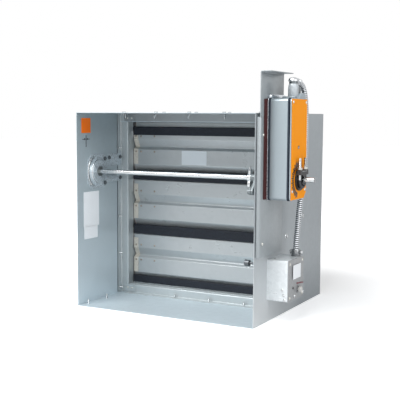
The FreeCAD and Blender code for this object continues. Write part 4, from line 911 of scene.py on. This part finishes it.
def buildPlate():
    # one bent sheet: a round nose in front up to the sleeve's top, a turned rear edge and a turned top
    low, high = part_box("mounting_plate")
    half = plate["gauge"] / 2
    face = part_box("actuator_base")[0].x - half
    bend, front, rear, top = plate["bend"], low.y - plate["frontLap"], high.y - half, high.z - half
    bm = bmesh.new()
    bottom, shoulder, nose = low.z + plate["lift"], plate["flangeTop"], plate["nose"]
    flat = [(face, rear - bend), (face - bend * 0.3, rear - bend * 0.3), (face - bend, rear), (low.x, rear)]
    turns = [turn * math.pi / 2 / plate["noseSteps"] for turn in range(plate["noseSteps"] + 1)]
    fold = [(face - nose + nose * math.sin(turn), front + nose - nose * math.cos(turn)) for turn in turns]
    start = [(low.x + half, front)]
    stripAlong(bm, [(x, y, bottom) for x, y in start + fold + flat], (0, 0, shoulder - bottom))
    stripAlong(bm, [(x, y, shoulder) for x, y in [(face, front)] + flat], (0, 0, top - bend - shoulder))
    lip = [(face, top - bend), (face + bend * 0.3, top - bend * 0.3), (face + bend, top), (high.x, top)]
    stripAlong(bm, [(x, front, z) for x, z in lip], (0, rear - bend - front, 0))
    piece = finishPiece("mountingSheet", bm, plateZinc, "frame", angle=60, recalc=False)
    thicken(piece, plate["gauge"], plate["rim"])
    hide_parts("mounting_plate")


buildPlate()


# actuator case, base and gaskets

case = {
    "corner": 0.0085, "edge": 0.0026, "lap": 0.001, "baseGap": 0.0021, "baseEdge": 0.0008,
    "bands": (0.0052, 0.0040), "bandProud": 0.0007, "bandEdge": 0.001, "rearLap": 0.0008, "frontLap": 0.0014,
    "foot": {"reach": 0.0165, "gauge": 0.0026, "inset": 0.002, "corner": 0.003, "edge": 0.0006, "lap": 0.01},
    "rim": {"proud": 0.0016, "from": 0.0023, "to": 0.0009, "edge": 0.0005},
    "lid": {"x": (0.033, 0.001), "y": (-0.150, -0.098), "sink": 0.002, "rise": 0.0045, "edge": 0.002},
    "ridge": {"y": (-0.183, -0.092), "past": 0.004, "sink": 0.001, "rise": 0.0085, "edge": 0.0026},
    "hood": {"x": (0.3060, 0.3255), "z": (0.5390, 0.5555), "foot": (-0.1400, -0.0900),
             "crown": (-0.1220, -0.0980), "edge": 0.0022},
}


def tapered(bm, shape):
    # a block whose top is shorter than its foot, with softened edges
    block = bmesh.new()
    bmesh.ops.create_cube(block, size=1)
    for vert in block.verts:
        ends = shape["crown"] if vert.co.z > 0 else shape["foot"]
        vert.co = (shape["x"][vert.co.x > 0], ends[vert.co.y > 0], shape["z"][vert.co.z > 0])
    bevelEdges(block, block.edges[:], shape["edge"])
    pour(bm, block)


def caseSlab(bm, low, high, fromX, toX, proud, edge):
    # a rounded slab of the case's outline between two places along X
    roundedPlate(bm, (fromX, low.y - proud, low.z - proud), (toX, high.y + proud, high.z + proud),
                 case["corner"], edge)


def buildCase():
    # the silver case with a lid and a hood on top, and a dark band at each end
    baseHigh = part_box("actuator_base")[1]
    low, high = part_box("actuator_body")
    high = Vector((high.x, high.y, baseHigh.z))
    bm = bmesh.new()
    caseSlab(bm, low, high, low.x - case["lap"], high.x + case["lap"], 0.0, case["edge"])
    lid = case["lid"]
    softBlock(bm, (high.x - lid["x"][0], lid["y"][0], high.z - lid["sink"]),
              (high.x - lid["x"][1], lid["y"][1], high.z + lid["rise"]), lid["edge"])
    tapered(bm, case["hood"])
    piece = finishPiece("actuatorCase", bm, finishes["actuator_metal"], "frame")
    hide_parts("actuator_body")
    bm = bmesh.new()
    rearBand, frontBand = case["bands"]
    rearStart, frontEnd = baseHigh.x - case["rearLap"], high.x + case["frontLap"]
    for start, end in ((rearStart, rearStart + rearBand), (frontEnd - frontBand, frontEnd)):
        caseSlab(bm, low, high, start, end, case["bandProud"], case["bandEdge"])
    piece = finishPiece("caseBands", bm, finishes["gasket_rubber"], "frame")
    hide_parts("case_gaskets")


def buildBase():
    # the base with its foot, a dark sheet that reaches forward into the shaded recess by the plate (painted
    # shade), and the bright rim and ridge behind the case
    low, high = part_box("actuator_base")
    foot, rim, ridge = case["foot"], case["rim"], case["ridge"]
    bm = bmesh.new()
    caseSlab(bm, low, high, low.x, high.x - case["baseGap"], 0.0, case["baseEdge"])
    # the foot stands for the shaded recess between plate and case: painted shade
    roundedPlate(bm, (low.x, low.y - foot["reach"], low.z + foot["inset"]),
                 (low.x + foot["gauge"], low.y + foot["lap"], high.z - foot["inset"]), foot["corner"],
                 foot["edge"])
    piece = finishPiece("actuatorBase", bm, finishes["base_metal"], "frame")
    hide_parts("actuator_base")
    bm = bmesh.new()
    caseSlab(bm, low, high, high.x - rim["from"], high.x - rim["to"], rim["proud"], rim["edge"])
    softBlock(bm, (low.x, ridge["y"][0], high.z - ridge["sink"]),
              (high.x + ridge["past"], ridge["y"][1], high.z + ridge["rise"]), ridge["edge"])
    piece = finishPiece("baseRim", bm, rimAluminium, "frame")
    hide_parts("actuator_base")


buildCase()
buildBase()
print("plate and case made")


# actuator face: scale and winder

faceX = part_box("face_plate")[1].x
dial = {"inner": 0.0310, "outer": 0.0455, "short": 0.003, "first": 98, "last": 262, "step": 7.5,
        "share": 0.74, "gauge": 0.00025}


def buildScale():
    # ticks round the hub, every other one shorter
    bm = bmesh.new()
    inner, gauge = dial["inner"], dial["gauge"]
    count = int((dial["last"] - dial["first"]) / dial["step"])
    for index in range(count + 1):
        angle = math.radians(dial["first"] + index * dial["step"])
        outer = dial["outer"] if index % 2 == 0 else dial["outer"] - dial["short"]
        middle = (inner + outer) / 2
        width = math.radians(dial["step"]) * dial["share"] * middle
        at = Matrix.Translation((faceX + gauge / 2, shaft.y, shaft.z)) @ Matrix.Rotation(angle, 4, "X")
        at = at @ Matrix.Translation((0, middle, 0)) @ Matrix.Diagonal((gauge, outer - inner, width, 1))
        bmesh.ops.create_cube(bm, size=1, matrix=at)
    finishPiece("scaleMarks", bm, printBlack, "frame")


winder = {"z": 0.4275, "y": -0.1420, "radius": 0.0042, "hex": 0.0030, "rise": 0.0005, "hexRise": 0.0002}


def buildWinder():
    # the socket for winding by hand
    bm = bmesh.new()
    at = place((faceX, winder["y"], winder["z"]), (1, 0, 0))
    addCone(bm, at, winder["radius"], winder["radius"] * 0.9, winder["rise"], 24)
    finishPiece("winderRim", bm, printBlack, "frame")
    bm = bmesh.new()
    addCone(bm, at, winder["hex"], winder["hex"], winder["hexRise"], 6, winder["rise"])
    finishPiece("winderSocket", bm, finishes["motor_metal"], "frame")


buildScale()
buildWinder()


# hub clamp on the jackshaft beside the drive crank

def hexNut(bm, at, radius, height, chamfer):
    # hexagon with both faces chamfered
    addCone(bm, at, radius * 0.9, radius, chamfer, 6)
    addCone(bm, at, radius, radius, height - 2 * chamfer, 6, chamfer)
    addCone(bm, at, radius, radius * 0.9, chamfer, 6, height - chamfer)


hubClamp = {
    "length": 0.0105, "radius": 0.0106, "bore": 0.0066, "chamfer": 0.0012,
    "lug": {"half": 0.0085, "top": 0.0085, "drop": 0.0235, "inset": 0.0005, "edge": 0.0028},
    "boss": {"foot": 0.0062, "top": 0.0048, "height": 0.0095, "lift": 0.0078},
    "nut": {"radius": 0.0052, "height": 0.0032, "chamfer": 0.0005, "lift": 0.0172},
    "stem": {"radius": 0.0026, "height": 0.006, "point": 0.0008, "lift": 0.0200},
}


def buildHubClamp():
    # a ring with a lug below and a bolted boss above
    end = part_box("crank_clamp")[1].x
    radius, bore, length, chamfer = (hubClamp[key] for key in ("radius", "bore", "length", "chamfer"))
    start = end - length
    bm = bmesh.new()
    spinProfile(bm, [(bore, 0), (radius * 0.93, 0), (radius, chamfer), (radius, length - chamfer),
                     (radius * 0.93, length), (bore, length), (bore, 0)],
                place((start, shaft.y, shaft.z), (1, 0, 0)))
    lug = hubClamp["lug"]
    softBlock(bm, (start + lug["inset"], shaft.y - lug["half"], shaft.z - lug["drop"]),
              (end - lug["inset"], shaft.y + lug["half"], shaft.z - lug["top"]), lug["edge"])
    up = Matrix.Translation((end - length / 2, shaft.y, shaft.z))
    boss, nut, stem = hubClamp["boss"], hubClamp["nut"], hubClamp["stem"]
    addCone(bm, up, boss["foot"], boss["top"], boss["height"], 24, boss["lift"])
    hexNut(bm, up @ Matrix.Translation((0, 0, nut["lift"])), nut["radius"], nut["height"], nut["chamfer"])
    addCone(bm, up, stem["radius"], stem["radius"], stem["height"], 16, stem["lift"])
    addCone(bm, up, stem["radius"], stem["radius"] * 0.7, stem["point"], 16, stem["lift"] + stem["height"])
    piece = finishPiece("hubClamp", bm, finishes["shaft_steel"], "jackshaft")
    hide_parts("crank_clamp")


# U-bolt, threads and serrated bar

uBolt = {"sides": 20, "steps": 20, "radius": 0.0034, "thread": 0.026, "pitch": 0.00125, "crest": 0.00012,
         "endGap": 0.0006, "nutChamfer": 0.0007, "nutTallest": 0.02}


def threadRings(bm, bottom, count, size):
    # fine crests along a bolt's leg, upwards from the bottom
    crest, root, pitch = size["radius"] + size["crest"], size["radius"] * 0.96, size["pitch"]
    for turn in range(count):
        at = Matrix.Translation(bottom + Vector((0, 0, turn * pitch)))
        addCone(bm, at, root, crest, pitch * 0.5, size["sides"])
        addCone(bm, at, crest, root, pitch * 0.45, size["sides"], pitch * 0.5)


def legUp(bm, edges, height):
    # draws a round bar's end ring straight up or down
    leg = bmesh.ops.extrude_edge_only(bm, edges=edges)["geom"]
    bmesh.ops.translate(bm, vec=(0, 0, height), verts=vertsIn(leg))
    return edgesIn(leg)


def buildUBolt():
    # one bar: down a leg, round the bend and up the other leg
    solids = solidsOf("clamp_u_bolt")
    low, high = max(solids, key=lambda box: box[1].z - box[0].z)
    nuts = [box for box in solids if box[1].z - box[0].z < uBolt["nutTallest"]]
    middle = (low + high) / 2
    spread = (high.y - low.y - (high.x - low.x)) / 2
    bendZ = low.z + (high.x - low.x) / 2 + spread
    bm = bmesh.new()
    start = Matrix.Translation((middle.x, middle.y - spread, high.z))
    ring = bmesh.ops.create_circle(bm, segments=uBolt["sides"], radius=uBolt["radius"], cap_ends=True,
                                   matrix=start)["verts"]
    legFaces = len(bm.faces) + uBolt["sides"]
    edges = legUp(bm, list({e for v in ring for e in v.link_edges}), bendZ - high.z)
    bend = bmesh.ops.spin(bm, geom=edges, cent=(middle.x, middle.y, bendZ), axis=(1, 0, 0), angle=math.pi,
                          steps=uBolt["steps"])
    bm.faces.ensure_lookup_table()
    for face in bm.faces[legFaces:]:
        face.material_index = 1                # the bend is black
    edges = legUp(bm, edgesIn(bend["geom_last"]), high.z - bendZ)
    bmesh.ops.contextual_create(bm, geom=edges)
    count = int(uBolt["thread"] / uBolt["pitch"])
    footZ = high.z - uBolt["endGap"] - count * uBolt["pitch"]
    for side in (-1, 1):
        threadRings(bm, Vector((middle.x, middle.y + side * spread, footZ)), count, uBolt)
    piece = finishPiece("uBolt", bm, finishes["shaft_steel"], "jackshaft")
    piece.data.materials.append(finishes["black_steel"])
    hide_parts("clamp_u_bolt")
    bm = bmesh.new()
    for nutLow, nutHigh in nuts:
        foot = Vector(((nutLow.x + nutHigh.x) / 2, (nutLow.y + nutHigh.y) / 2, nutLow.z))
        hexNut(bm, Matrix.Translation(foot), (nutHigh.x - nutLow.x) / 2, nutHigh.z - nutLow.z,
               uBolt["nutChamfer"])
    piece = finishPiece("uBoltNuts", bm, finishes["plated_steel"], "jackshaft")
    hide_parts("clamp_u_bolt")


teeth = {"count": 9, "inset": 0.012, "drop": 0.0035, "radius": 0.0016, "gauge": 0.0006}


def buildBarTeeth():
    # a serrated edge along the clamp bar's outer face
    low, high = max(solidsOf("clamp_jaws"), key=lambda box: box[1].y - box[0].y)
    reach = high.y - low.y - 2 * teeth["inset"]
    bm = bmesh.new()
    for index in range(teeth["count"]):
        y = low.y + teeth["inset"] + reach * index / (teeth["count"] - 1)
        at = Matrix.Translation((high.x, y, high.z - teeth["drop"])) @ Matrix.Rotation(math.pi / 2, 4, "Y")
        bmesh.ops.create_cone(bm, cap_ends=True, segments=3, radius1=teeth["radius"], radius2=teeth["radius"],
                              depth=teeth["gauge"], matrix=at)
    finishPiece("barTeeth", bm, finishes["shaft_steel"], "jackshaft")


buildHubClamp()
buildUBolt()
buildBarTeeth()
print("actuator face made")


# ribbed conduit

conduit = {
    "rib": 0.00725, "groove": 0.0058, "pitch": 0.0049, "sides": 20, "steps": 6, "tuck": 0.005,
    "route": ((0.3060, -0.1056, 0.5820), (0.3060, -0.0816, 0.5820), (0.3120, -0.0676, 0.5600),
              (0.3155, -0.0646, 0.5020), (0.3140, -0.0646, 0.3600), (0.3015, -0.0646, 0.2840),
              (0.2976, -0.0655, 0.2160), (0.2958, -0.0686, 0.1900), (0.2958, -0.0686, 0.1720)),
}


def ribFinish():
    # bright crests and grooves darkened as painted shade, by the mark that the sweep leaves on each rib
    material, tree, shader, vector = newMaterial("conduitRibsGrooveShade")
    mark = tree.nodes.new("ShaderNodeAttribute")
    mark.attribute_name = "rib"
    wear = placeGroup(tree, handlingMarks, vector, Patch_Scale=50.0, Patch_Share=0.5, Speck_Scale=380.0)
    crest = mixColor(tree, wear.outputs["Mask"], (0.76, 0.79, 0.82), (0.56, 0.59, 0.61))
    depth = rampNode(tree, mark.outputs["Fac"], 0.0, 1.0, 0.25, 0.85)
    tree.links.new(mixColor(tree, depth, (0.06, 0.065, 0.07), crest), shader.inputs["Base Color"])
    shader.inputs["Metallic"].default_value = 0.8
    tree.links.new(rampNode(tree, wear.outputs["Speck"], 0.22, 0.38, 0.3, 0.7), shader.inputs["Roughness"])
    addBump(tree, shader, wear.outputs["Speck"], 0.00003)
    return material


def smoothLine(points):
    curve = bpy.data.curves.new("line", "CURVE")
    curve.dimensions = "3D"
    curve.resolution_u = 24
    spline = curve.splines.new("NURBS")
    spline.points.add(len(points) - 1)
    for knot, point in zip(spline.points, points):
        knot.co = (*point, 1)
    spline.order_u = 3
    spline.use_endpoint_u = True
    holder = bpy.data.objects.new("line", curve)
    scene.collection.objects.link(holder)
    bpy.context.view_layer.update()
    mesh = bpy.data.meshes.new_from_object(holder)
    line = [v.co.copy() for v in mesh.vertices]
    bpy.data.objects.remove(holder)
    bpy.data.curves.remove(curve)
    bpy.data.meshes.remove(mesh)
    return line


def evenly(line, gap):
    # points an even distance apart along a line
    lengths = [0.0]
    for before, after in zip(line, line[1:]):
        lengths.append(lengths[-1] + (after - before).length)
    count = max(int(lengths[-1] / gap), 2)
    result = []
    piece = 0
    for index in range(count + 1):
        want = lengths[-1] * index / count
        while piece < len(line) - 2 and lengths[piece + 1] < want:
            piece += 1
        share = (want - lengths[piece]) / (lengths[piece + 1] - lengths[piece])
        result.append(line[piece].lerp(line[piece + 1], share))
    return result, lengths[-1]


def sweep(bm, line, sides, radiusAt):
    # a ring is extruded from step to step and laid on the line, with each vert's share of the rib kept
    mark = bm.verts.layers.float.new("rib")
    normal = (line[1] - line[0]).normalized().orthogonal().normalized()
    ring = bmesh.ops.create_circle(bm, segments=sides, radius=1, cap_ends=True)["verts"]
    edges = sorted({e for v in ring for e in v.link_edges}, key=lambda e: e.index)
    last = None
    for index, point in enumerate(line):
        ahead = line[min(index + 1, len(line) - 1)] - line[max(index - 1, 0)]
        ahead.normalize()
        if last is not None:
            normal.rotate(last.rotation_difference(ahead))
            drawn = bmesh.ops.extrude_edge_only(bm, edges=edges)["geom"]
            edges = edgesIn(drawn)
            ring = matched(ring, vertsIn(drawn))
        side = ahead.cross(normal)
        for step, vert in enumerate(ring):
            angle = 2 * math.pi * step / sides
            radius, crest = radiusAt(index, angle)
            vert.co = point + (normal * math.cos(angle) + side * math.sin(angle)) * radius
            vert[mark] = crest
        last = ahead
    bmesh.ops.contextual_create(bm, geom=edges)


def matched(old, fresh):
    # the extruded verts in the order of the ring that they came from
    found = set(fresh)
    result = []
    for vert in old:
        for edge in vert.link_edges:
            other = edge.other_vert(vert)
            if other in found:
                result.append(other)
                break
    return result


def buildConduit():
    # one rib to each pitch, wound like a screw
    route = [Vector(p) for p in conduit["route"]]
    first = route[0] + (route[0] - route[1]).normalized() * conduit["tuck"]
    final = route[-1] + (route[-1] - route[-2]).normalized() * conduit["tuck"]
    line, length = evenly(smoothLine([first] + route[1:-1] + [final]), conduit["pitch"] / conduit["steps"])

    def ribbed(index, angle):
        turn = (index / conduit["steps"] + angle / (2 * math.pi)) % 1.0
        crest = 0.5 + 0.5 * math.cos(2 * math.pi * turn)
        return conduit["groove"] + (conduit["rib"] - conduit["groove"]) * crest ** 0.6, crest

    bm = bmesh.new()
    sweep(bm, line, conduit["sides"], ribbed)
    piece = finishPiece("ribbedConduit", bm, ribFinish(), "frame", angle=75)
    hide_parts("flex_conduit")
    print("conduit length", round(length, 4))


buildConduit()


# conduit connectors

fitting = {"ear": 0.0045, "earHalf": 0.00336, "earEdge": 0.0009, "collar": 0.011, "screw": 0.0034,
           "screwHead": 0.0022}


def squeezeCollar(bm, at, radius, length):
    # a split collar with an ear on each side, along the local Z
    bore = radius * 0.66
    spinProfile(bm, [(bore, 0), (radius * 0.96, 0), (radius, 0.0008), (radius, length - 0.001),
                     (radius * 0.93, length), (bore, length), (bore, 0)], at)
    for side in (-1, 1):
        inner, outer = sorted((side * radius * 0.8, side * (radius + fitting["ear"])))
        softBlock(bm, (inner, -fitting["earHalf"], length * 0.14), (outer, fitting["earHalf"], length * 0.86),
                  fitting["earEdge"], at)


elbow = {
    "bodyDrop": 0.013, "bodyTop": 0.0215, "neckTop": 0.027, "neck": 0.0102, "mouthDrop": 0.0115,
    "mouth": 0.0103, "throat": (0.0098, 0.0092), "throatStart": 0.004,
    "shadowBlock": {"x": (-0.006, 0.007), "drop": (0.026, 0.0105), "past": 0.010, "edge": 0.002},
    "dome": ((0.95, 0), (0.98, 0.0006), (0.96, 0.0026), (0.87, 0.0062), (0.66, 0.0086), (0.34, 0.0100)),
}


def buildElbow(low, high):
    # a grey body, a dark neck, a dark block under the mouth that paints the shadow between elbow and conduit, and
    # a bright dome with its side mouth
    radius = (high.x - low.x) / 2
    centre = Vector(((low.x + high.x) / 2, low.y + radius, low.z))
    mouthZ = high.z - elbow["mouthDrop"]
    stand = Matrix.Translation(centre)
    bottom, top, neck = -elbow["bodyDrop"], elbow["bodyTop"], elbow["neckTop"]
    body = bmesh.new()
    spinProfile(body, [(0, bottom), (radius * 0.97, bottom), (radius, bottom + 0.0008),
                       (radius, 0.011), (radius * 0.95, 0.016), (radius * 0.86, top - 0.0006),
                       (radius * 0.82, top), (0, top)], stand)
    body = finishPiece("elbowBody", body, elbowGrey, "frame")
    neckAndShadow = bmesh.new()
    spinProfile(neckAndShadow, [(0, top), (elbow["neck"], top), (elbow["neck"], neck), (0, neck)], stand)
    # painted shadow: a dark block where the gap between elbow and conduit lies in shade
    shadowBlock = elbow["shadowBlock"]
    left, right = (centre.x + x for x in shadowBlock["x"])
    below, above = (mouthZ - drop for drop in shadowBlock["drop"])
    softBlock(neckAndShadow, (left, centre.y + radius * 0.8, below), (right, high.y + shadowBlock["past"], above),
              shadowBlock["edge"])
    neckAndShadow = finishPiece("elbowNeckAndShadow", neckAndShadow, darkBolt, "frame")
    dome = bmesh.new()
    outline = [(radius * share, neck + rise) for share, rise in elbow["dome"]]
    spinProfile(dome, [(0, neck)] + outline + [(0, neck + 0.0104)], stand)
    collarY = high.y - fitting["collar"]
    squeezeCollar(dome, place((centre.x, collarY, mouthZ), (0, 1, 0)), elbow["mouth"], fitting["collar"])
    throatY = centre.y + elbow["throatStart"]
    addCone(dome, place((centre.x, throatY, mouthZ), (0, 1, 0)), *elbow["throat"], collarY - throatY, 28)
    dome = finishPiece("elbowDome", dome, finishes["connector_zinc"], "frame")
    for piece in (body, neckAndShadow, dome):
        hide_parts("conduit_connectors")
    return centre, mouthZ


straight = {"nut": ((0, 0), (0.0122, 0), (0.0128, 0.0006), (0.0128, 0.0028), (0.0120, 0.0034), (0, 0.0034)),
            "foot": 0.0032, "radius": 0.0104, "stub": 0.0085}


def buildConnectors():
    # the elbow on the actuator and the straight one on the box
    boxes = solidsOf("conduit_connectors")
    (upLow, upHigh), (downLow, downHigh) = sorted(boxes, key=lambda box: -box[0].z)
    centre, mouthZ = buildElbow(upLow, upHigh)
    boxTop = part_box("sensor_box")[1].z
    middle = Vector((conduit["route"][-1][0], conduit["route"][-1][1], boxTop))
    foot = middle + Vector((0, 0, straight["foot"]))
    tall = downHigh.z - foot.z
    bm = bmesh.new()
    spinProfile(bm, straight["nut"], Matrix.Translation(middle), 8)
    squeezeCollar(bm, Matrix.Translation(foot), straight["radius"], tall)
    addCone(bm, place(middle, (0, 0, -1)), straight["stub"], straight["stub"], boxTop - downLow.z, 24)
    piece = finishPiece("boxConnector", bm, squeezeZinc, "frame")
    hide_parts("conduit_connectors")
    return foot + Vector((0, 0, tall / 2)), Vector((centre.x, upHigh.y - fitting["collar"] / 2, mouthZ))


squeeze = {"box": {"side": 0.0124, "lift": 0.0035, "shank": 0.0019, "long": 0.004, "size": 1.0},
           "elbow": {"side": 0.0115, "lift": 0.0028, "shank": 0.0018, "long": 0.003, "size": 0.9}}


def squeezeScrew(bm, at, size):
    slottedHead(bm, at @ Matrix.Translation((0, 0, size["lift"])), fitting["screw"] * size["size"],
                fitting["screwHead"])
    addCone(bm, at, size["shank"], size["shank"], size["long"], 12)


def buildSqueezeScrews(collar, mouth):
    # two in each squeeze collar's ears
    bm = bmesh.new()
    for side in (-1, 1):
        point = collar + Vector((side * squeeze["box"]["side"], 0, 0))
        squeezeScrew(bm, place(point, (side, -0.6, 0.25)), squeeze["box"])
        point = mouth + Vector((side * squeeze["elbow"]["side"], 0, 0.001))
        squeezeScrew(bm, place(point, (0.1 * side, 0, 1)), squeeze["elbow"])
    finishPiece("squeezeScrews", bm, finishes["shaft_steel"], "frame")


buildSqueezeScrews(*buildConnectors())
print("conduit and connectors made")


# camera, light and floor

view = {"position": (1.0575, -2.0102, 0.4983), "azimuth": 28.008, "drop": 5.643, "roll": 0.31,
        "focal": 841.9, "imageWidth": 400, "sensor": 36}


def buildCamera():
    # angles in degrees, focal length in the pixels of a picture of that width
    azimuth, drop, roll = (math.radians(view[key]) for key in ("azimuth", "drop", "roll"))
    back = Vector((math.sin(azimuth) * math.cos(drop), -math.cos(azimuth) * math.cos(drop), math.sin(drop)))
    right = Vector((math.cos(azimuth), math.sin(azimuth), 0))
    up = back.cross(right)
    rolledRight = right * math.cos(roll) + up * math.sin(roll)
    rolledUp = up * math.cos(roll) - right * math.sin(roll)
    data = bpy.data.cameras.new("photoCamera")
    data.sensor_width = view["sensor"]
    data.lens = view["focal"] * view["sensor"] / view["imageWidth"]
    camera = bpy.data.objects.new("photoCamera", data)
    scene.collection.objects.link(camera)
    turn = Matrix((rolledRight, rolledUp, back)).transposed().to_4x4()
    camera.matrix_world = Matrix.Translation(view["position"]) @ turn
    scene.camera = camera


lamps = {
    "keyLamp": {"at": (0.1, -2.0, 3.2), "aim": (0.0, 0.0, 0.1), "size": 1.5, "power": 66},
    "sideLamp": {"at": (-1.2, -2.2, 2.9), "aim": (0.0, 0.0, 0.2), "size": 1.5, "power": 92},
    "frontLamp": {"at": (0.6, -3.2, 0.9), "aim": (0.0, 0.0, 0.2), "size": 2.0, "power": 7},
    "fillLamp": {"at": (2.8, -1.0, 1.6), "aim": (0.2, 0.0, 0.25), "size": 2.0, "power": 37},
}


def buildLamps():
    for name, lamp in lamps.items():
        data = bpy.data.lights.new(name, "AREA")
        data.size = lamp["size"]
        data.energy = lamp["power"]
        light = bpy.data.objects.new(name, data)
        scene.collection.objects.link(light)
        aim = Vector(lamp["aim"]) - Vector(lamp["at"])
        turn = aim.to_track_quat("-Z", "Y").to_matrix().to_4x4()
        light.matrix_world = Matrix.Translation(lamp["at"]) @ turn


def seenDirectly(tree, mirrored=1.0):
    # camera, mirror and glass rays see the pale backdrop
    path = tree.nodes.new("ShaderNodeLightPath")
    other = mathNode(tree, "MAXIMUM", path.outputs["Is Glossy Ray"], path.outputs["Is Transmission Ray"])
    other = mathNode(tree, "MULTIPLY", other, mirrored)
    return mathNode(tree, "MAXIMUM", path.outputs["Is Camera Ray"], other)


def buildWorld():
    # a faint soft light all round, white where it is seen
    world = bpy.data.worlds.new("plainWorld")
    scene.world = world
    world.use_nodes = True
    tree = world.node_tree
    soft = tree.nodes["Background"]
    soft.inputs["Color"].default_value = (0.93, 0.96, 1.0, 1)
    soft.inputs["Strength"].default_value = 0.08
    backdrop = tree.nodes.new("ShaderNodeBackground")
    backdrop.inputs["Color"].default_value = (1, 1, 1, 1)
    backdrop.inputs["Strength"].default_value = 1.0
    mix = tree.nodes.new("ShaderNodeMixShader")
    tree.links.new(seenDirectly(tree), mix.inputs[0])
    tree.links.new(soft.outputs[0], mix.inputs[1])
    tree.links.new(backdrop.outputs[0], mix.inputs[2])
    tree.links.new(mix.outputs[0], tree.nodes["World Output"].inputs["Surface"])


ground = {"reach": 12, "drop": 0.0004, "nearGlow": 0.45, "farGlow": 1.3, "mirrored": 0.35, "bounced": 0.22}


def buildFloor():
    # a pale floor that glows brighter away from the damper, so that it fades into the backdrop
    bm = bmesh.new()
    bmesh.ops.create_grid(bm, x_segments=1, y_segments=1, size=ground["reach"])
    bmesh.ops.translate(bm, vec=(0, 0, -ground["drop"]), verts=bm.verts)
    mesh = bpy.data.meshes.new("floor")
    bm.to_mesh(mesh)
    bm.free()
    material = bpy.data.materials.new("paleFloor")
    material.use_nodes = True
    tree = material.node_tree
    shader = tree.nodes["Principled BSDF"]
    shader.inputs["Base Color"].default_value = (0.86, 0.87, 0.88, 1)
    shader.inputs["Roughness"].default_value = 0.9
    shader.inputs["Specular IOR Level"].default_value = 0.1
    shader.inputs["Emission Color"].default_value = (1, 1, 1, 1)
    coords = tree.nodes.new("ShaderNodeTexCoord")
    distance = tree.nodes.new("ShaderNodeVectorMath")
    distance.operation = "LENGTH"
    tree.links.new(coords.outputs["Object"], distance.inputs[0])
    glow = rampNode(tree, distance.outputs["Value"], 0.5, 1.0, ground["nearGlow"], ground["farGlow"])
    seen = mathNode(tree, "MAXIMUM", seenDirectly(tree, ground["mirrored"]), ground["bounced"])
    tree.links.new(mathNode(tree, "MULTIPLY", seen, glow), shader.inputs["Emission Strength"])
    mesh.materials.append(material)
    floor = bpy.data.objects.new("floor", mesh)
    scene.collection.objects.link(floor)


buildCamera()
buildLamps()
buildWorld()
buildFloor()
scene.view_settings.view_transform = "Standard"
print("camera, lamps and floor set")
